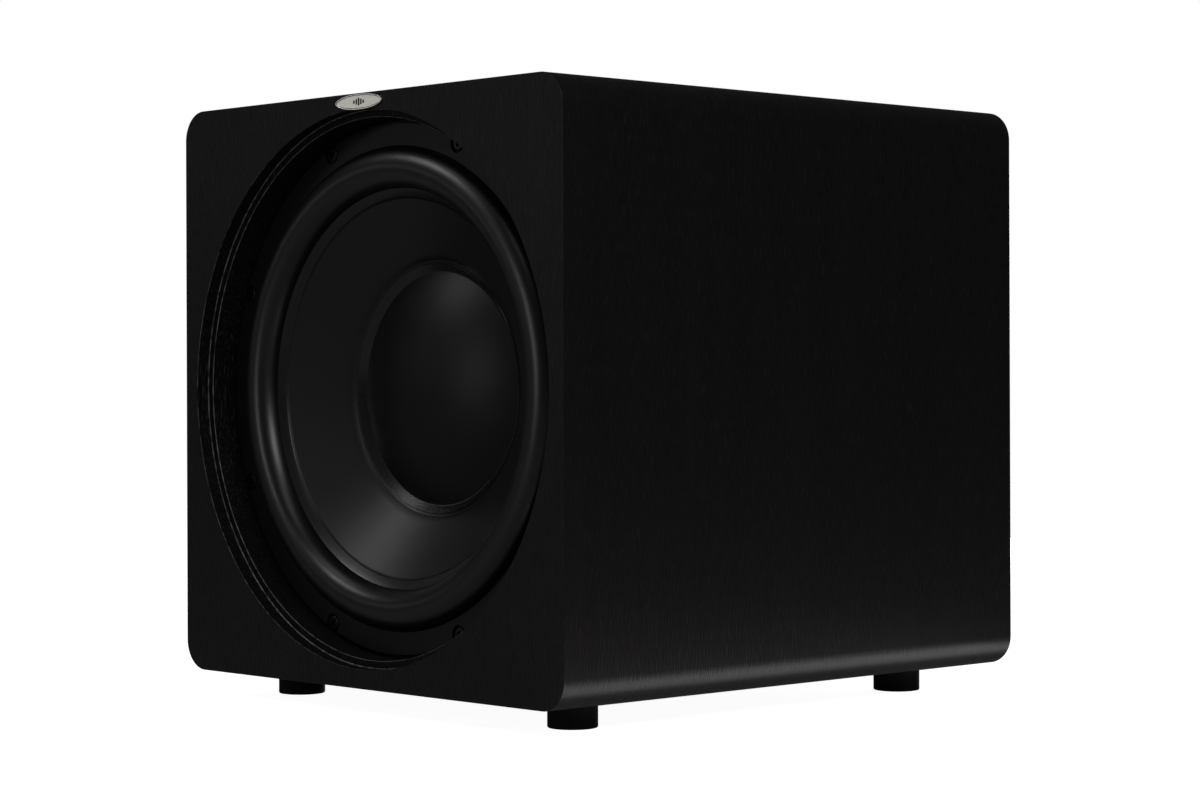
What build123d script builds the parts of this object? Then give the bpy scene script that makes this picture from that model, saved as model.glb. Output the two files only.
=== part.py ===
"""Powered subwoofer: a veneered box with a 15-inch-class driver in front and a plate amplifier behind.

Millimetres, +Z up.  The front faces -Y.  The origin is on the floor, in the middle of the footprint.
A "depth" is a distance behind the front face of the box, towards +Y.
"""
import os
from math import cos, radians, sin, tan

from build123d import *

# Box
WIDTH = 425.0
HEIGHT = 422.0  # without the feet
DEPTH = 462.0
EDGE_R = 22.0  # the four long edges
WALL = 19.0
VENEER = 0.6
CORNER_BLOCK = 30.0
BACK_INSET = 14.0
CLEAT = 20.0
LINING = 25.0
LINING_GAP = 4.0

# Feet
FOOT_R = 17.5
FOOT_HEIGHT = 19.0
FOOT_X = 152.0
FOOT_INSET = 63.0  # foot centre to the front or back face
FOOT_ROUND = 1.2
FOOT_BORE_R = 8.0
FOOT_BORE_DEPTH = 9.0
FOOT_SCREW_R = 2.25
FOOT_SCREW_HEAD_R = 6.0
FOOT_SCREW_HEAD_H = 3.5
FOOT_SCREW_LENGTH = 24.0

# Opening in the front
DRIVER_UP = 212.4  # driver axis above the underside of the box
GRILLE_R = 198.5
GRILLE_DEPTH = 10.5
BORE_R = 192.8
FRONT_BAFFLE = 38.0  # front face to the driver's seat
DRIVER_BAFFLE = 19.0
DRIVER_HOLE_R = 176.0

# Badge
BADGE_LENGTH = 52.5
BADGE_HEIGHT = 11.2
BADGE_DROP = 6.3  # top of the box to the badge's middle
BADGE_T = 1.4
BADGE_RIM = 1.1
BADGE_FIELD_T = 0.9
BADGE_BAR = 1.3
BADGE_BAR_T = 0.3
BADGE_BAR_HEIGHTS = (2.2, 3.8, 5.4, 3.8, 2.2)

# Driver: frame and fasteners
FRAME_R = 190.0
FRAME_T = 4.2
FRAME_WALL_R = 174.0
FRAME_WALL = 4.0
GASKET_T = 0.8
TRIM_DEPTH = 30.0
TRIM_IN_R = 173.5
BOLT_CIRCLE_R = 185.5
BOLTS = 8
BOLT_R = 3.0
BOLT_HEAD_R = 5.0
BOLT_HEAD_H = 4.0
BOLT_HEX = 4.0
BOLT_LENGTH = 28.0
BOLT_NOTCH_R = 7.0
BOLT_POCKET = 1.5
TEE_NUT_R = 3.9
TEE_NUT_LENGTH = 10.0
TEE_NUT_FLANGE_R = 9.0
TEE_NUT_FLANGE = 1.5
SPOKES = 6
WINDOW_ANGLE = 38.0

# Driver: moving parts and suspension
CONE_R = 145.0
CONE_EDGE_DEPTH = 34.2
CONE_SLOPE = 0.667
CONE_T = 1.6
ROLL_IN_R = 143.5
ROLL_PEAK_DEPTH = 20.0
ROLL_T = 1.4
LIP_T = 0.7
LIP_IN_R = 137.3
SURROUND_FLANGE_R = 184.0
SURROUND_FLANGE_T = 0.8
CAP_RIM_R = 90.8
CAP_DOME_R = 84.5
CAP_RIM_T = 0.9
CAP_RISE = 21.0
CAP_T = 1.1
FORMER_R = 32.6
FORMER_T = 0.5
FORMER_LEAD = 9.2  # how far it stands in front of the cone's neck
FORMER_BACK = 168.0
COIL_T = 1.6
COIL_LENGTH = 34.0
SPIDER_DEPTH = 120.0  # front of the frame's shelf
SPIDER_T = 0.8
SPIDER_WAVE = 2.5
SPIDER_WAVES = 7
SPIDER_FLAT_R = 34.0
SPIDER_LAND_R = 97.0
SPIDER_R = 108.0

# Driver: motor
MOTOR_DEPTH = 145.0  # front of the top plate
TOP_PLATE_T = 10.0
TOP_PLATE_R = 90.0
COIL_CLEARANCE = 1.8
MAGNET_R = 92.0
MAGNET_IN_R = 45.0
MAGNET_T = 20.0
MAGNETS = 2
YOKE_R = 88.0
YOKE_T = 12.0
POLE_CLEARANCE = 1.5
VENT_R = 10.0
BOOT_T = 3.0
BOOT_CLEARANCE = 0.3

# Inside the box
BRACE_DEPTH = 150.0
BRACE_T = 18.0
BRACE_WINDOW_R = 120.0
BRACE_HOLE_R = 28.0
BRACE_HOLE_INSET = 45.0
CABLE_R = 3.0
LEAD_R = 1.2
LEAD_X = 8.0
TERMINAL = (36.0, 10.0, 12.0)

# Amplifier
PLATE_W = 280.0
PLATE_H = 330.0
PLATE_T = 3.0
PLATE_R = 8.0
PLATE_SEAL = 1.5
CUTOUT_W = 250.0
CUTOUT_H = 300.0
HOUSING_GAP = 2.0
HOUSING_WALL = 1.5
HOUSING_LENGTH = 117.5
PLATE_SCREW_R = 2.0
PLATE_SCREW_HEAD_R = 4.0
PLATE_SCREW_HEAD_H = 2.2
PLATE_SCREW_LENGTH = 18.0
PLATE_SCREW_INSET = 7.5
FINS = 12
FIN_T = 2.0
FIN_H = 7.0
SINK_BASE = 2.0
SINK_W = 100.0
SINK_H = 250.0
SINK_X = 72.0

# Controls and sockets on the amplifier plate, as places (x, z) from its middle
KNOB_PLACES = {"volume": (-105.0, 110.0), "crossover": (-65.0, 110.0), "phase": (-25.0, 110.0)}
KNOB_R = 8.5
KNOB_H = 8.5
KNOB_GAP = 0.6
KNOB_FLUTES = 14
POT_R = 8.5
POT_LENGTH = 11.0
BUSHING_R = 3.5
BUSHING_H = 3.0
SHAFT_R = 3.0
RUNNING = 0.05  # radial clearance of a turning shaft
EASY = 0.2  # clearance of a piece that passes through the plate
TOGGLE_PLACE = (-95.0, 15.0)
TOGGLE_BODY = (8.0, 13.0, 11.5)
TOGGLE_BUSHING_R = 3.6
TOGGLE_BORE_R = 2.9
TOGGLE_BUSHING_H = 3.4
TOGGLE_PIVOT = 0.5  # in front of the plate's front face
TOGGLE_LENGTH = 12.6
TOGGLE_TILT = 12.0
LED_PLACE = (-60.0, 15.0)
LED_R = 1.5
JACK_PLACES = [(-105.0, 60.0), (-75.0, 60.0), (-45.0, 60.0), (-15.0, 60.0)]
JACK_R = 4.15
JACK_WALL = 0.75
JACK_H = 8.0
JACK_SEAT_R = 3.8  # inside the insulator
JACK_COLLAR = 1.2
JACK_SHOULDER = 1.4
JACK_COLLAR_R = 6.2
JACK_NECK_R = 5.2
JACK_PIN_R = 1.6
ROCKER_PLACE = (-75.0, -62.0)
ROCKER_BODY = (13.0, 19.0, 18.0)
ROCKER_FLANGE = 1.0
ROCKER_FLANGE_T = 1.5
ROCKER_WELL = (10.0, 16.0, 11.0)
ROCKER_SIDE_GAP = 0.3
ROCKER_END_GAP = 1.0
ROCKER_TILT = 8.0
INLET_PLACE = (-75.0, -112.0)
INLET_FLANGE = (50.0, 28.0, 2.5)
INLET_BODY = (28.0, 20.0, 22.5)
INLET_SOCKET = (24.5, 16.8, 16.0)
INLET_CHAMFER = 4.0
INLET_PIN = (2.0, 4.0)
INLET_PIN_LENGTH = 20.0
INLET_PIN_SETBACK = 5.0
INLET_PINS = [(-7.0, -2.0), (7.0, -2.0), (0.0, 2.0)]
INLET_SCREW_X = 20.0
INLET_SCREW_R = 1.5
INLET_SCREW_HEAD_R = 2.9
INLET_SCREW_HEAD_H = 1.8
INLET_SCREW_LENGTH = 9.0
BOARD = (118.0, 180.0, 1.6)
BOARD_PLACE = (-60.0, 50.0)
BOARD_STANDOFF = 48.0
STANDOFF_R = 3.5
STANDOFF_INSET = 6.0
CAPACITOR_R = 17.5
CAPACITOR_H = 48.0
CAPACITOR_PLACES = [(-90.0, 108.0), (-90.0, 62.0), (-45.0, 108.0), (-45.0, 62.0)]
TOROID_R = 55.0
TOROID_IN_R = 20.0
TOROID_H = 50.0
TOROID_ROUND = 8.0
TOROID_PLACE = (55.0, -75.0)

# Places worked out from the sizes above
FRONT_Y = -(DEPTH + BADGE_T) / 2 + BADGE_T
DRIVER_Z = FOOT_HEIGHT + DRIVER_UP
MIDDLE_Z = FOOT_HEIGHT + HEIGHT / 2
TOP_Z = FOOT_HEIGHT + HEIGHT
INNER_W = WIDTH - 2 * (VENEER + WALL)
INNER_H = HEIGHT - 2 * (VENEER + WALL)
BACK_PANEL_BACK = DEPTH - BACK_INSET
BACK_PANEL_FRONT = BACK_PANEL_BACK - WALL
PLATE_FRONT = BACK_PANEL_BACK + PLATE_SEAL
PLATE_BACK = PLATE_FRONT + PLATE_T
FRAME_BACK = FRONT_BAFFLE - GASKET_T
FRAME_FRONT = FRAME_BACK - FRAME_T
FLANGE_FRONT = FRAME_FRONT - SURROUND_FLANGE_T  # surround's clamped edge, under the trim ring
DRIVER_BAFFLE_BACK = FRONT_BAFFLE + DRIVER_BAFFLE
COIL_R = FORMER_R + COIL_T
POLE_R = FORMER_R - FORMER_T - POLE_CLEARANCE
MAGNET_FRONT = MOTOR_DEPTH + TOP_PLATE_T
MAGNET_BACK = MAGNET_FRONT + MAGNETS * MAGNET_T
YOKE_BACK = MAGNET_BACK + YOKE_T
BOLT_ANGLES = [(k + 0.5) * 360 / BOLTS for k in range(BOLTS)]
SLACK = 0.02  # clearance of a fastener's shank in its hole


# ---- Shared shapes -------------------------------------------------------------------------------


def slab(sketch, front, back):
    """A sketch drawn in X and Z, made solid between two depths."""
    plane = Plane.XZ.offset(-(FRONT_Y + back))
    return extrude(plane * sketch, back - front)


def disc(r, x=0.0, z=0.0):
    return Pos(x, z) * Circle(r)


def board(width, height, x=0.0, z=0.0):
    return Pos(x, z) * Rectangle(width, height)


def driver_disc(r):
    return disc(r, 0, DRIVER_Z)


def driver_ring(r_out, r_in, front, back):
    return slab(driver_disc(r_out) - driver_disc(r_in), front, back)


def turned(*edges, arc=360.0):
    """A closed outline of (radius, depth), turned about the driver's axis."""
    solid = revolve(make_face(Curve() + list(edges)), Axis.Y, arc)
    return Pos(0, FRONT_Y, DRIVER_Z) * solid


def outline(*points):
    return Polyline(*points, close=True)


def about_driver(shape, angle):
    return shape.rotate(Axis((0, 0, DRIVER_Z), (0, 1, 0)), angle)


def group(solids):
    return Compound(children=list(solids))


def box_outline(inset):
    """The box seen from the front, drawn in by an inset."""
    size = (WIDTH - 2 * inset, HEIGHT - 2 * inset)
    return Pos(0, MIDDLE_Z) * RectangleRounded(*size, EDGE_R - inset)


def corners(inset=0.0):
    """Middles of the four corner blocks."""
    reach = VENEER + CORNER_BLOCK / 2 + inset
    for sx in (-1, 1):
        for sz in (-1, 1):
            yield sx * (WIDTH / 2 - reach), MIDDLE_Z + sz * (HEIGHT / 2 - reach)


def inner_outline():
    """The box's inside seen from the front, clear of the corner blocks."""
    shape = board(INNER_W, INNER_H, 0, MIDDLE_Z)
    for x, z in corners():
        shape -= board(CORNER_BLOCK, CORNER_BLOCK, x, z)
    return shape


def on_plate(place):
    return place[0], MIDDLE_Z + place[1]


def bolt_places():
    for angle in BOLT_ANGLES:
        yield BOLT_CIRCLE_R * cos(radians(angle)), DRIVER_Z + BOLT_CIRCLE_R * sin(radians(angle))


def foot_places():
    for sx in (-1, 1):
        for y in (FRONT_Y + FOOT_INSET, FRONT_Y + DEPTH - FOOT_INSET):
            yield sx * FOOT_X, y


def cone_depth(r):
    """Depth of the cone's front surface at a radius."""
    return CONE_EDGE_DEPTH + (CONE_R - r) * CONE_SLOPE


def tube(points, radius):
    """A round tube through straight runs joined by arcs as large as the runs allow."""
    points = [Vector(*p) for p in points]
    bends = []
    for before, here, after in zip(points, points[1:], points[2:]):
        run = min((here - before).length, (after - here).length)
        turn = (here - before).get_angle(after - here)
        bends.append(0.45 * run / tan(radians(turn) / 2))
    path = FilletPolyline(*points, radius=bends)
    section = Plane(origin=path @ 0, z_dir=path % 0) * Circle(radius)
    return sweep(section, path)


# ---- Box -----------------------------------------------------------------------------------------


def side_panels():
    length = HEIGHT - 2 * (VENEER + CORNER_BLOCK)
    reach = WIDTH / 2 - VENEER - WALL / 2
    return group(slab(board(WALL, length, x, MIDDLE_Z), FRONT_BAFFLE, DEPTH) for x in (-reach, reach))


def level_panel(side):
    length = WIDTH - 2 * (VENEER + CORNER_BLOCK)
    z = MIDDLE_Z + side * (HEIGHT / 2 - VENEER - WALL / 2)
    return slab(board(length, WALL, 0, z), FRONT_BAFFLE, DEPTH)


def foot_holes(low, high):
    for x, y in foot_places():
        yield Pos(x, y, (low + high) / 2) * Cylinder(FOOT_SCREW_R + SLACK, high - low)


def bottom_panel():
    screw_top = FOOT_BORE_DEPTH + FOOT_SCREW_LENGTH + 1
    return level_panel(-1) - list(foot_holes(FOOT_HEIGHT, screw_top))


def corner_blocks():
    blocks = []
    for x, z in corners():
        square = board(CORNER_BLOCK, CORNER_BLOCK, x, z)
        blocks += slab(square & box_outline(VENEER), FRONT_BAFFLE, DEPTH).solids()
    return group(blocks)


def front_baffle():
    plate = slab(box_outline(VENEER), VENEER, FRONT_BAFFLE)
    rabbet = slab(driver_disc(GRILLE_R), 0, GRILLE_DEPTH)
    return plate - rabbet - slab(driver_disc(BORE_R), 0, FRONT_BAFFLE)


def driver_baffle():
    shape = inner_outline() - driver_disc(DRIVER_HOLE_R)
    for x, z in bolt_places():
        shape -= disc(TEE_NUT_R + SLACK, x, z)
    return slab(shape, FRONT_BAFFLE, DRIVER_BAFFLE_BACK)


def window_brace():
    shape = inner_outline() - driver_disc(BRACE_WINDOW_R)
    for sx in (-1, 1):
        for sz in (-1, 1):
            x = sx * (INNER_W / 2 - BRACE_HOLE_INSET)
            shape -= disc(BRACE_HOLE_R, x, MIDDLE_Z + sz * (INNER_H / 2 - BRACE_HOLE_INSET))
    return slab(shape, BRACE_DEPTH, BRACE_DEPTH + BRACE_T)


def back_panel():
    shape = inner_outline() - board(CUTOUT_W, CUTOUT_H, 0, MIDDLE_Z)
    panel = slab(shape, BACK_PANEL_FRONT, BACK_PANEL_BACK)
    return panel - plate_screw_holes(BACK_PANEL_FRONT, BACK_PANEL_BACK)


def back_cleats():
    """Battens on the four walls, in front of the back panel."""
    reach = 2 * (CORNER_BLOCK - WALL)
    strips = []
    for side in (-1, 1):
        x = side * (INNER_W - CLEAT) / 2
        z = MIDDLE_Z + side * (INNER_H - CLEAT) / 2
        strips.append(board(CLEAT, INNER_H - 2 * CLEAT, x, MIDDLE_Z))
        strips.append(board(INNER_W - reach, CLEAT, 0, z))
    return group(slab(s, BACK_PANEL_FRONT - CLEAT, BACK_PANEL_FRONT) for s in strips)


def damping_lining():
    """Wadding on both sides and the top, behind the brace."""
    front = BRACE_DEPTH + BRACE_T + LINING_GAP
    back = BACK_PANEL_FRONT - CLEAT - LINING_GAP
    clear = CORNER_BLOCK - WALL + LINING
    sheets = [board(INNER_W - 2 * clear, LINING, 0, MIDDLE_Z + (INNER_H - LINING) / 2)]
    for side in (-1, 1):
        x = side * (INNER_W - LINING) / 2
        sheets.append(board(LINING, INNER_H - 2 * clear, x, MIDDLE_Z))
    return group(slab(s, front, back) for s in sheets)


def veneer_wrap():
    skin = slab(box_outline(0) - box_outline(VENEER), VENEER, DEPTH)
    return skin - list(foot_holes(FOOT_HEIGHT - 1, FOOT_HEIGHT + VENEER + 1))


def veneer_front():
    return slab(box_outline(0) - driver_disc(GRILLE_R), 0, VENEER)


def foot(x, y):
    body = Pos(x, y, FOOT_HEIGHT / 2) * Cylinder(FOOT_R, FOOT_HEIGHT)
    body = fillet(body.edges().group_by(Axis.Z)[0], FOOT_ROUND)
    body -= Pos(x, y, FOOT_BORE_DEPTH / 2) * Cylinder(FOOT_BORE_R, FOOT_BORE_DEPTH)
    return body - Pos(x, y, FOOT_HEIGHT / 2) * Cylinder(FOOT_SCREW_R + EASY, FOOT_HEIGHT)


def foot_screw(x, y):
    head_z = FOOT_BORE_DEPTH - FOOT_SCREW_HEAD_H / 2
    head = Pos(x, y, head_z) * Cylinder(FOOT_SCREW_HEAD_R, FOOT_SCREW_HEAD_H)
    shank_z = FOOT_BORE_DEPTH + FOOT_SCREW_LENGTH / 2
    return head + Pos(x, y, shank_z) * Cylinder(FOOT_SCREW_R, FOOT_SCREW_LENGTH)


def badge():
    place = Pos(0, TOP_Z - BADGE_DROP)
    plate = slab(place * Ellipse(BADGE_LENGTH / 2, BADGE_HEIGHT / 2), -BADGE_T, 0)
    field = Ellipse(BADGE_LENGTH / 2 - BADGE_RIM, BADGE_HEIGHT / 2 - BADGE_RIM)
    return plate - slab(place * field, -BADGE_T, -BADGE_FIELD_T)


def badge_inlay():
    """Five plain upright bars, a generic level-meter mark."""
    bars = []
    middle = (len(BADGE_BAR_HEIGHTS) - 1) / 2
    for k, height in enumerate(BADGE_BAR_HEIGHTS):
        bar = board(BADGE_BAR, height, (k - middle) * 2 * BADGE_BAR, TOP_Z - BADGE_DROP)
        bars.append(slab(bar, -BADGE_FIELD_T - BADGE_BAR_T, -BADGE_FIELD_T))
    return group(bars)


# ---- Driver: frame and fasteners -----------------------------------------------------------------


def bolt_row(sketch_r, front, back):
    """One disc at each bolt place, between two depths."""
    return [slab(disc(sketch_r, x, z), front, back) for x, z in bolt_places()]


def basket():
    wall_in = FRAME_WALL_R - FRAME_WALL
    shelf_r = SPIDER_R + 1
    hub_r = TOP_PLATE_R + 10
    body = turned(
        outline(
            (FRAME_R, FRAME_FRONT),
            (FRAME_R, FRAME_BACK),
            (FRAME_WALL_R, FRAME_BACK),
            (FRAME_WALL_R, FRAME_BACK + 23),
            (shelf_r + FRAME_WALL, SPIDER_DEPTH - 6),
            (shelf_r + FRAME_WALL, SPIDER_DEPTH + FRAME_WALL),
            (hub_r, SPIDER_DEPTH + FRAME_WALL),
            (hub_r, MOTOR_DEPTH),
            (COIL_R + 22, MOTOR_DEPTH),
            (COIL_R + 22, MOTOR_DEPTH - 6),
            (hub_r - FRAME_WALL, MOTOR_DEPTH - 6),
            (hub_r - FRAME_WALL, SPIDER_DEPTH),
            (shelf_r, SPIDER_DEPTH),
            (shelf_r, SPIDER_DEPTH - 8),
            (wall_in, FRAME_BACK + 21),
            (wall_in, FRAME_FRONT),
        )
    )
    window = turned(
        outline(
            (shelf_r - 2, FRAME_BACK + 27),
            (FRAME_WALL_R + 2, FRAME_BACK + 27),
            (FRAME_WALL_R + 2, SPIDER_DEPTH - 12),
            (shelf_r - 2, SPIDER_DEPTH - 12),
        ),
        arc=WINDOW_ANGLE,
    )
    for k in range(SPOKES):
        body -= about_driver(window, k * 360 / SPOKES + 90 - WINDOW_ANGLE / 2)
    body -= bolt_row(BOLT_R + EASY, FRAME_FRONT, FRAME_BACK)
    return body - bolt_row(BOLT_HEAD_R + 0.5, FRAME_FRONT, FRAME_FRONT + BOLT_POCKET)


def basket_gasket():
    ring = driver_ring(FRAME_R, DRIVER_HOLE_R, FRAME_BACK, FRONT_BAFFLE)
    return ring - bolt_row(BOLT_R + EASY, FRAME_BACK, FRONT_BAFFLE)


def trim_ring():
    """Ring that covers the frame's flange, notched at its rim round each screw head."""
    step_r = SURROUND_FLANGE_R + EASY
    ring = turned(
        outline(
            (TRIM_IN_R, TRIM_DEPTH),
            (TRIM_IN_R, FLANGE_FRONT),
            (step_r, FLANGE_FRONT),
            (step_r, FRAME_FRONT),
            (FRAME_R, FRAME_FRONT),
            (FRAME_R, TRIM_DEPTH),
        )
    )
    return ring - bolt_row(BOLT_NOTCH_R, TRIM_DEPTH - 1, FRAME_FRONT + 1)


def driver_screws():
    head_back = FRAME_FRONT + BOLT_POCKET
    screws = []
    for x, z in bolt_places():
        head = slab(disc(BOLT_HEAD_R, x, z), head_back - BOLT_HEAD_H, head_back)
        head = chamfer(head.edges().group_by(Axis.Y)[0], 0.4)
        key = Pos(x, z) * RegularPolygon(BOLT_HEX / 2, 6, major_radius=False)
        head -= slab(key, head_back - BOLT_HEAD_H, head_back - BOLT_HEAD_H / 3)
        screws.append(head + slab(disc(BOLT_R, x, z), head_back, head_back + BOLT_LENGTH))
    return group(screws)


def tee_nuts():
    back = DRIVER_BAFFLE_BACK
    nuts = []
    for x, z in bolt_places():
        nut = slab(disc(TEE_NUT_R, x, z), back - TEE_NUT_LENGTH, back)
        nut += slab(disc(TEE_NUT_FLANGE_R, x, z), back, back + TEE_NUT_FLANGE)
        bore = disc(BOLT_R + SLACK, x, z)
        nuts.append(nut - slab(bore, back - TEE_NUT_LENGTH, back + TEE_NUT_FLANGE))
    return group(nuts)


def terminal_strip():
    """Block with two solder lugs, on the rim of the frame's shelf."""
    width, length, height = TERMINAL
    low = DRIVER_Z + SPIDER_R + 1 + FRAME_WALL
    front = SPIDER_DEPTH - 6
    body = slab(board(width, height, 0, low + height / 2), front, front + length)
    for side in (-1, 1):
        lug = board(5, 8, side * (width / 2 - 5), low + height + 4)
        body += slab(lug, front + length / 2 - 0.5, front + length / 2 + 0.5)
    return body


# ---- Driver: moving parts and suspension ---------------------------------------------------------


def surround():
    """Half-roll of rubber from the trim ring to the cone, with a flat flange and a glued lip."""
    middle = (TRIM_IN_R + ROLL_IN_R) / 2
    lip = cone_depth(LIP_IN_R)
    front = ThreePointArc(
        (TRIM_IN_R, FLANGE_FRONT),
        (middle, ROLL_PEAK_DEPTH),
        (ROLL_IN_R, cone_depth(ROLL_IN_R) - LIP_T),
    )
    inner_lip = Polyline(
        (ROLL_IN_R, cone_depth(ROLL_IN_R) - LIP_T),
        (LIP_IN_R, lip - LIP_T),
        (LIP_IN_R, lip),
        (CONE_R, CONE_EDGE_DEPTH),
    )
    back = ThreePointArc(
        (CONE_R, CONE_EDGE_DEPTH),
        (middle, ROLL_PEAK_DEPTH + ROLL_T),
        (TRIM_IN_R - ROLL_T, FRAME_FRONT),
    )
    flange = Polyline(
        (TRIM_IN_R - ROLL_T, FRAME_FRONT),
        (SURROUND_FLANGE_R, FRAME_FRONT),
        (SURROUND_FLANGE_R, FLANGE_FRONT),
        (TRIM_IN_R, FLANGE_FRONT),
    )
    ring = turned(front, inner_lip, back, flange)
    return ring - bolt_row(BOLT_NOTCH_R, TRIM_DEPTH, FRAME_FRONT + 1)


def cone():
    neck = cone_depth(FORMER_R)
    return turned(
        outline(
            (CONE_R, CONE_EDGE_DEPTH),
            (FORMER_R, neck),
            (FORMER_R, neck + CONE_T),
            (CONE_R, CONE_EDGE_DEPTH + CONE_T),
        )
    )


def dust_cap():
    """Shallow dome with a flat rim that lies on the cone."""
    rim = cone_depth(CAP_RIM_R)
    root = cone_depth(CAP_DOME_R)
    face = root - CAP_RIM_T
    peak = face - CAP_RISE

    def dome(edge, top):
        sphere_r = (CAP_DOME_R**2 + (edge - top) ** 2) / (2 * (edge - top))
        half = CAP_DOME_R / 2
        waist = top + sphere_r - (sphere_r**2 - half**2) ** 0.5
        return ThreePointArc((CAP_DOME_R, edge), (half, waist), (0, top))

    return turned(
        dome(face, peak),
        Line((0, peak), (0, peak + CAP_T)),
        dome(root, peak + CAP_T),
        Polyline((CAP_DOME_R, root), (CAP_RIM_R, rim), (CAP_RIM_R, rim - CAP_RIM_T), (CAP_DOME_R, face)),
    )


def voice_coil_former():
    front = cone_depth(FORMER_R) - FORMER_LEAD
    return driver_ring(FORMER_R, FORMER_R - FORMER_T, front, FORMER_BACK)


def voice_coil():
    middle = MOTOR_DEPTH + TOP_PLATE_T / 2
    return driver_ring(COIL_R, FORMER_R, middle - COIL_LENGTH / 2, middle + COIL_LENGTH / 2)


def spider():
    """Corrugated cloth disc between the former and the frame's shelf."""

    def waves(depth):
        step = (SPIDER_LAND_R - SPIDER_FLAT_R) / SPIDER_WAVES
        for k in range(SPIDER_WAVES):
            r = SPIDER_FLAT_R + k * step
            bump = SPIDER_WAVE if k % 2 else -SPIDER_WAVE
            yield ThreePointArc((r, depth), (r + step / 2, depth + bump), (r + step, depth))

    front = SPIDER_DEPTH - SPIDER_T
    edges = []
    for depth in (front, SPIDER_DEPTH):
        edges.append(Line((FORMER_R, depth), (SPIDER_FLAT_R, depth)))
        edges += waves(depth)
        edges.append(Line((SPIDER_LAND_R, depth), (SPIDER_R, depth)))
    for r in (FORMER_R, SPIDER_R):
        edges.append(Line((r, front), (r, SPIDER_DEPTH)))
    return turned(*edges)


def tinsel_leads():
    """Two braided leads, out through a window of the frame and in to the back of the cone."""
    leads = []
    for side in (-1, 1):
        end_r = CAP_DOME_R - 16
        end = cone_depth(end_r) + CONE_T + LEAD_R
        route = [(121, 113.5), (122.5, 104), (111, 99), (97, 98.5), (82, 96), (end_r, end)]
        points = [(side * LEAD_X, FRONT_Y + depth, DRIVER_Z + r) for r, depth in route]
        leads.append(tube(points, LEAD_R))
    return group(leads)


# ---- Driver: motor -------------------------------------------------------------------------------


def top_plate():
    return driver_ring(TOP_PLATE_R, COIL_R + COIL_CLEARANCE, MOTOR_DEPTH, MAGNET_FRONT)


def magnet():
    rings = []
    for k in range(MAGNETS):
        front = MAGNET_FRONT + k * MAGNET_T
        rings.append(driver_ring(MAGNET_R, MAGNET_IN_R, front, front + MAGNET_T))
    return group(rings)


def yoke():
    """Back plate and vented pole in one piece."""
    plate = slab(driver_disc(YOKE_R), MAGNET_BACK, YOKE_BACK)
    pole = slab(driver_disc(POLE_R), MOTOR_DEPTH, MAGNET_BACK)
    return plate + pole - slab(driver_disc(VENT_R), MOTOR_DEPTH, YOKE_BACK)


def magnet_boot():
    inner_r = MAGNET_R + BOOT_CLEARANCE
    cup = driver_ring(inner_r + BOOT_T, inner_r, MAGNET_FRONT + 1, YOKE_BACK)
    return cup + driver_ring(inner_r + BOOT_T, VENT_R + 2, YOKE_BACK, YOKE_BACK + BOOT_T)


# ---- Amplifier -----------------------------------------------------------------------------------


def plate_screw_places():
    x = PLATE_W / 2 - PLATE_SCREW_INSET
    z = PLATE_H / 2 - PLATE_SCREW_INSET
    for sz in (-1, 1):
        yield 0.0, MIDDLE_Z + sz * z
        for sx in (-1, 1):
            yield sx * x, MIDDLE_Z + sz * z
            yield sx * x, MIDDLE_Z + sz * z / 3


def plate_screw_holes(front, back):
    return [slab(disc(PLATE_SCREW_R + SLACK, x, z), front, back) for x, z in plate_screw_places()]


def inlet_screw_places():
    x, z = on_plate(INLET_PLACE)
    return [(x - INLET_SCREW_X, z), (x + INLET_SCREW_X, z)]


def plate_holes():
    """Every hole that the controls and sockets need, as sketches."""
    for place in KNOB_PLACES.values():
        yield disc(BUSHING_R + EASY, *on_plate(place))
    yield disc(TOGGLE_BUSHING_R + EASY, *on_plate(TOGGLE_PLACE))
    yield disc(LED_R + SLACK, *on_plate(LED_PLACE))
    for place in JACK_PLACES:
        yield disc(JACK_NECK_R + SLACK, *on_plate(place))
    yield board(ROCKER_BODY[0] + EASY, ROCKER_BODY[1] + EASY, *on_plate(ROCKER_PLACE))
    yield board(INLET_BODY[0] + EASY, INLET_BODY[1] + EASY, *on_plate(INLET_PLACE))
    for x, z in inlet_screw_places():
        yield disc(INLET_SCREW_R + SLACK, x, z)


def plate_outline():
    return Pos(0, MIDDLE_Z) * RectangleRounded(PLATE_W, PLATE_H, PLATE_R)


def amplifier_plate():
    shape = plate_outline()
    for hole in plate_holes():
        shape -= hole
    return slab(shape, PLATE_FRONT, PLATE_BACK) - plate_screw_holes(PLATE_FRONT, PLATE_BACK)


def plate_gasket():
    shape = plate_outline() - board(CUTOUT_W, CUTOUT_H, 0, MIDDLE_Z)
    ring = slab(shape, BACK_PANEL_BACK, PLATE_FRONT)
    return ring - plate_screw_holes(BACK_PANEL_BACK, PLATE_FRONT)


def pan_screw(x, z, seat, shank_r, head_r, head_h, length):
    """Screw driven forward from a seat, with a slightly rounded head behind it."""
    head = slab(disc(head_r, x, z), seat, seat + head_h)
    head = fillet(head.edges().group_by(Axis.Y)[-1], head_h / 3)
    return head + slab(disc(shank_r, x, z), seat - length, seat)


def plate_screws():
    sizes = (PLATE_SCREW_R, PLATE_SCREW_HEAD_R, PLATE_SCREW_HEAD_H, PLATE_SCREW_LENGTH)
    return group(pan_screw(x, z, PLATE_BACK, *sizes) for x, z in plate_screw_places())


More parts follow.
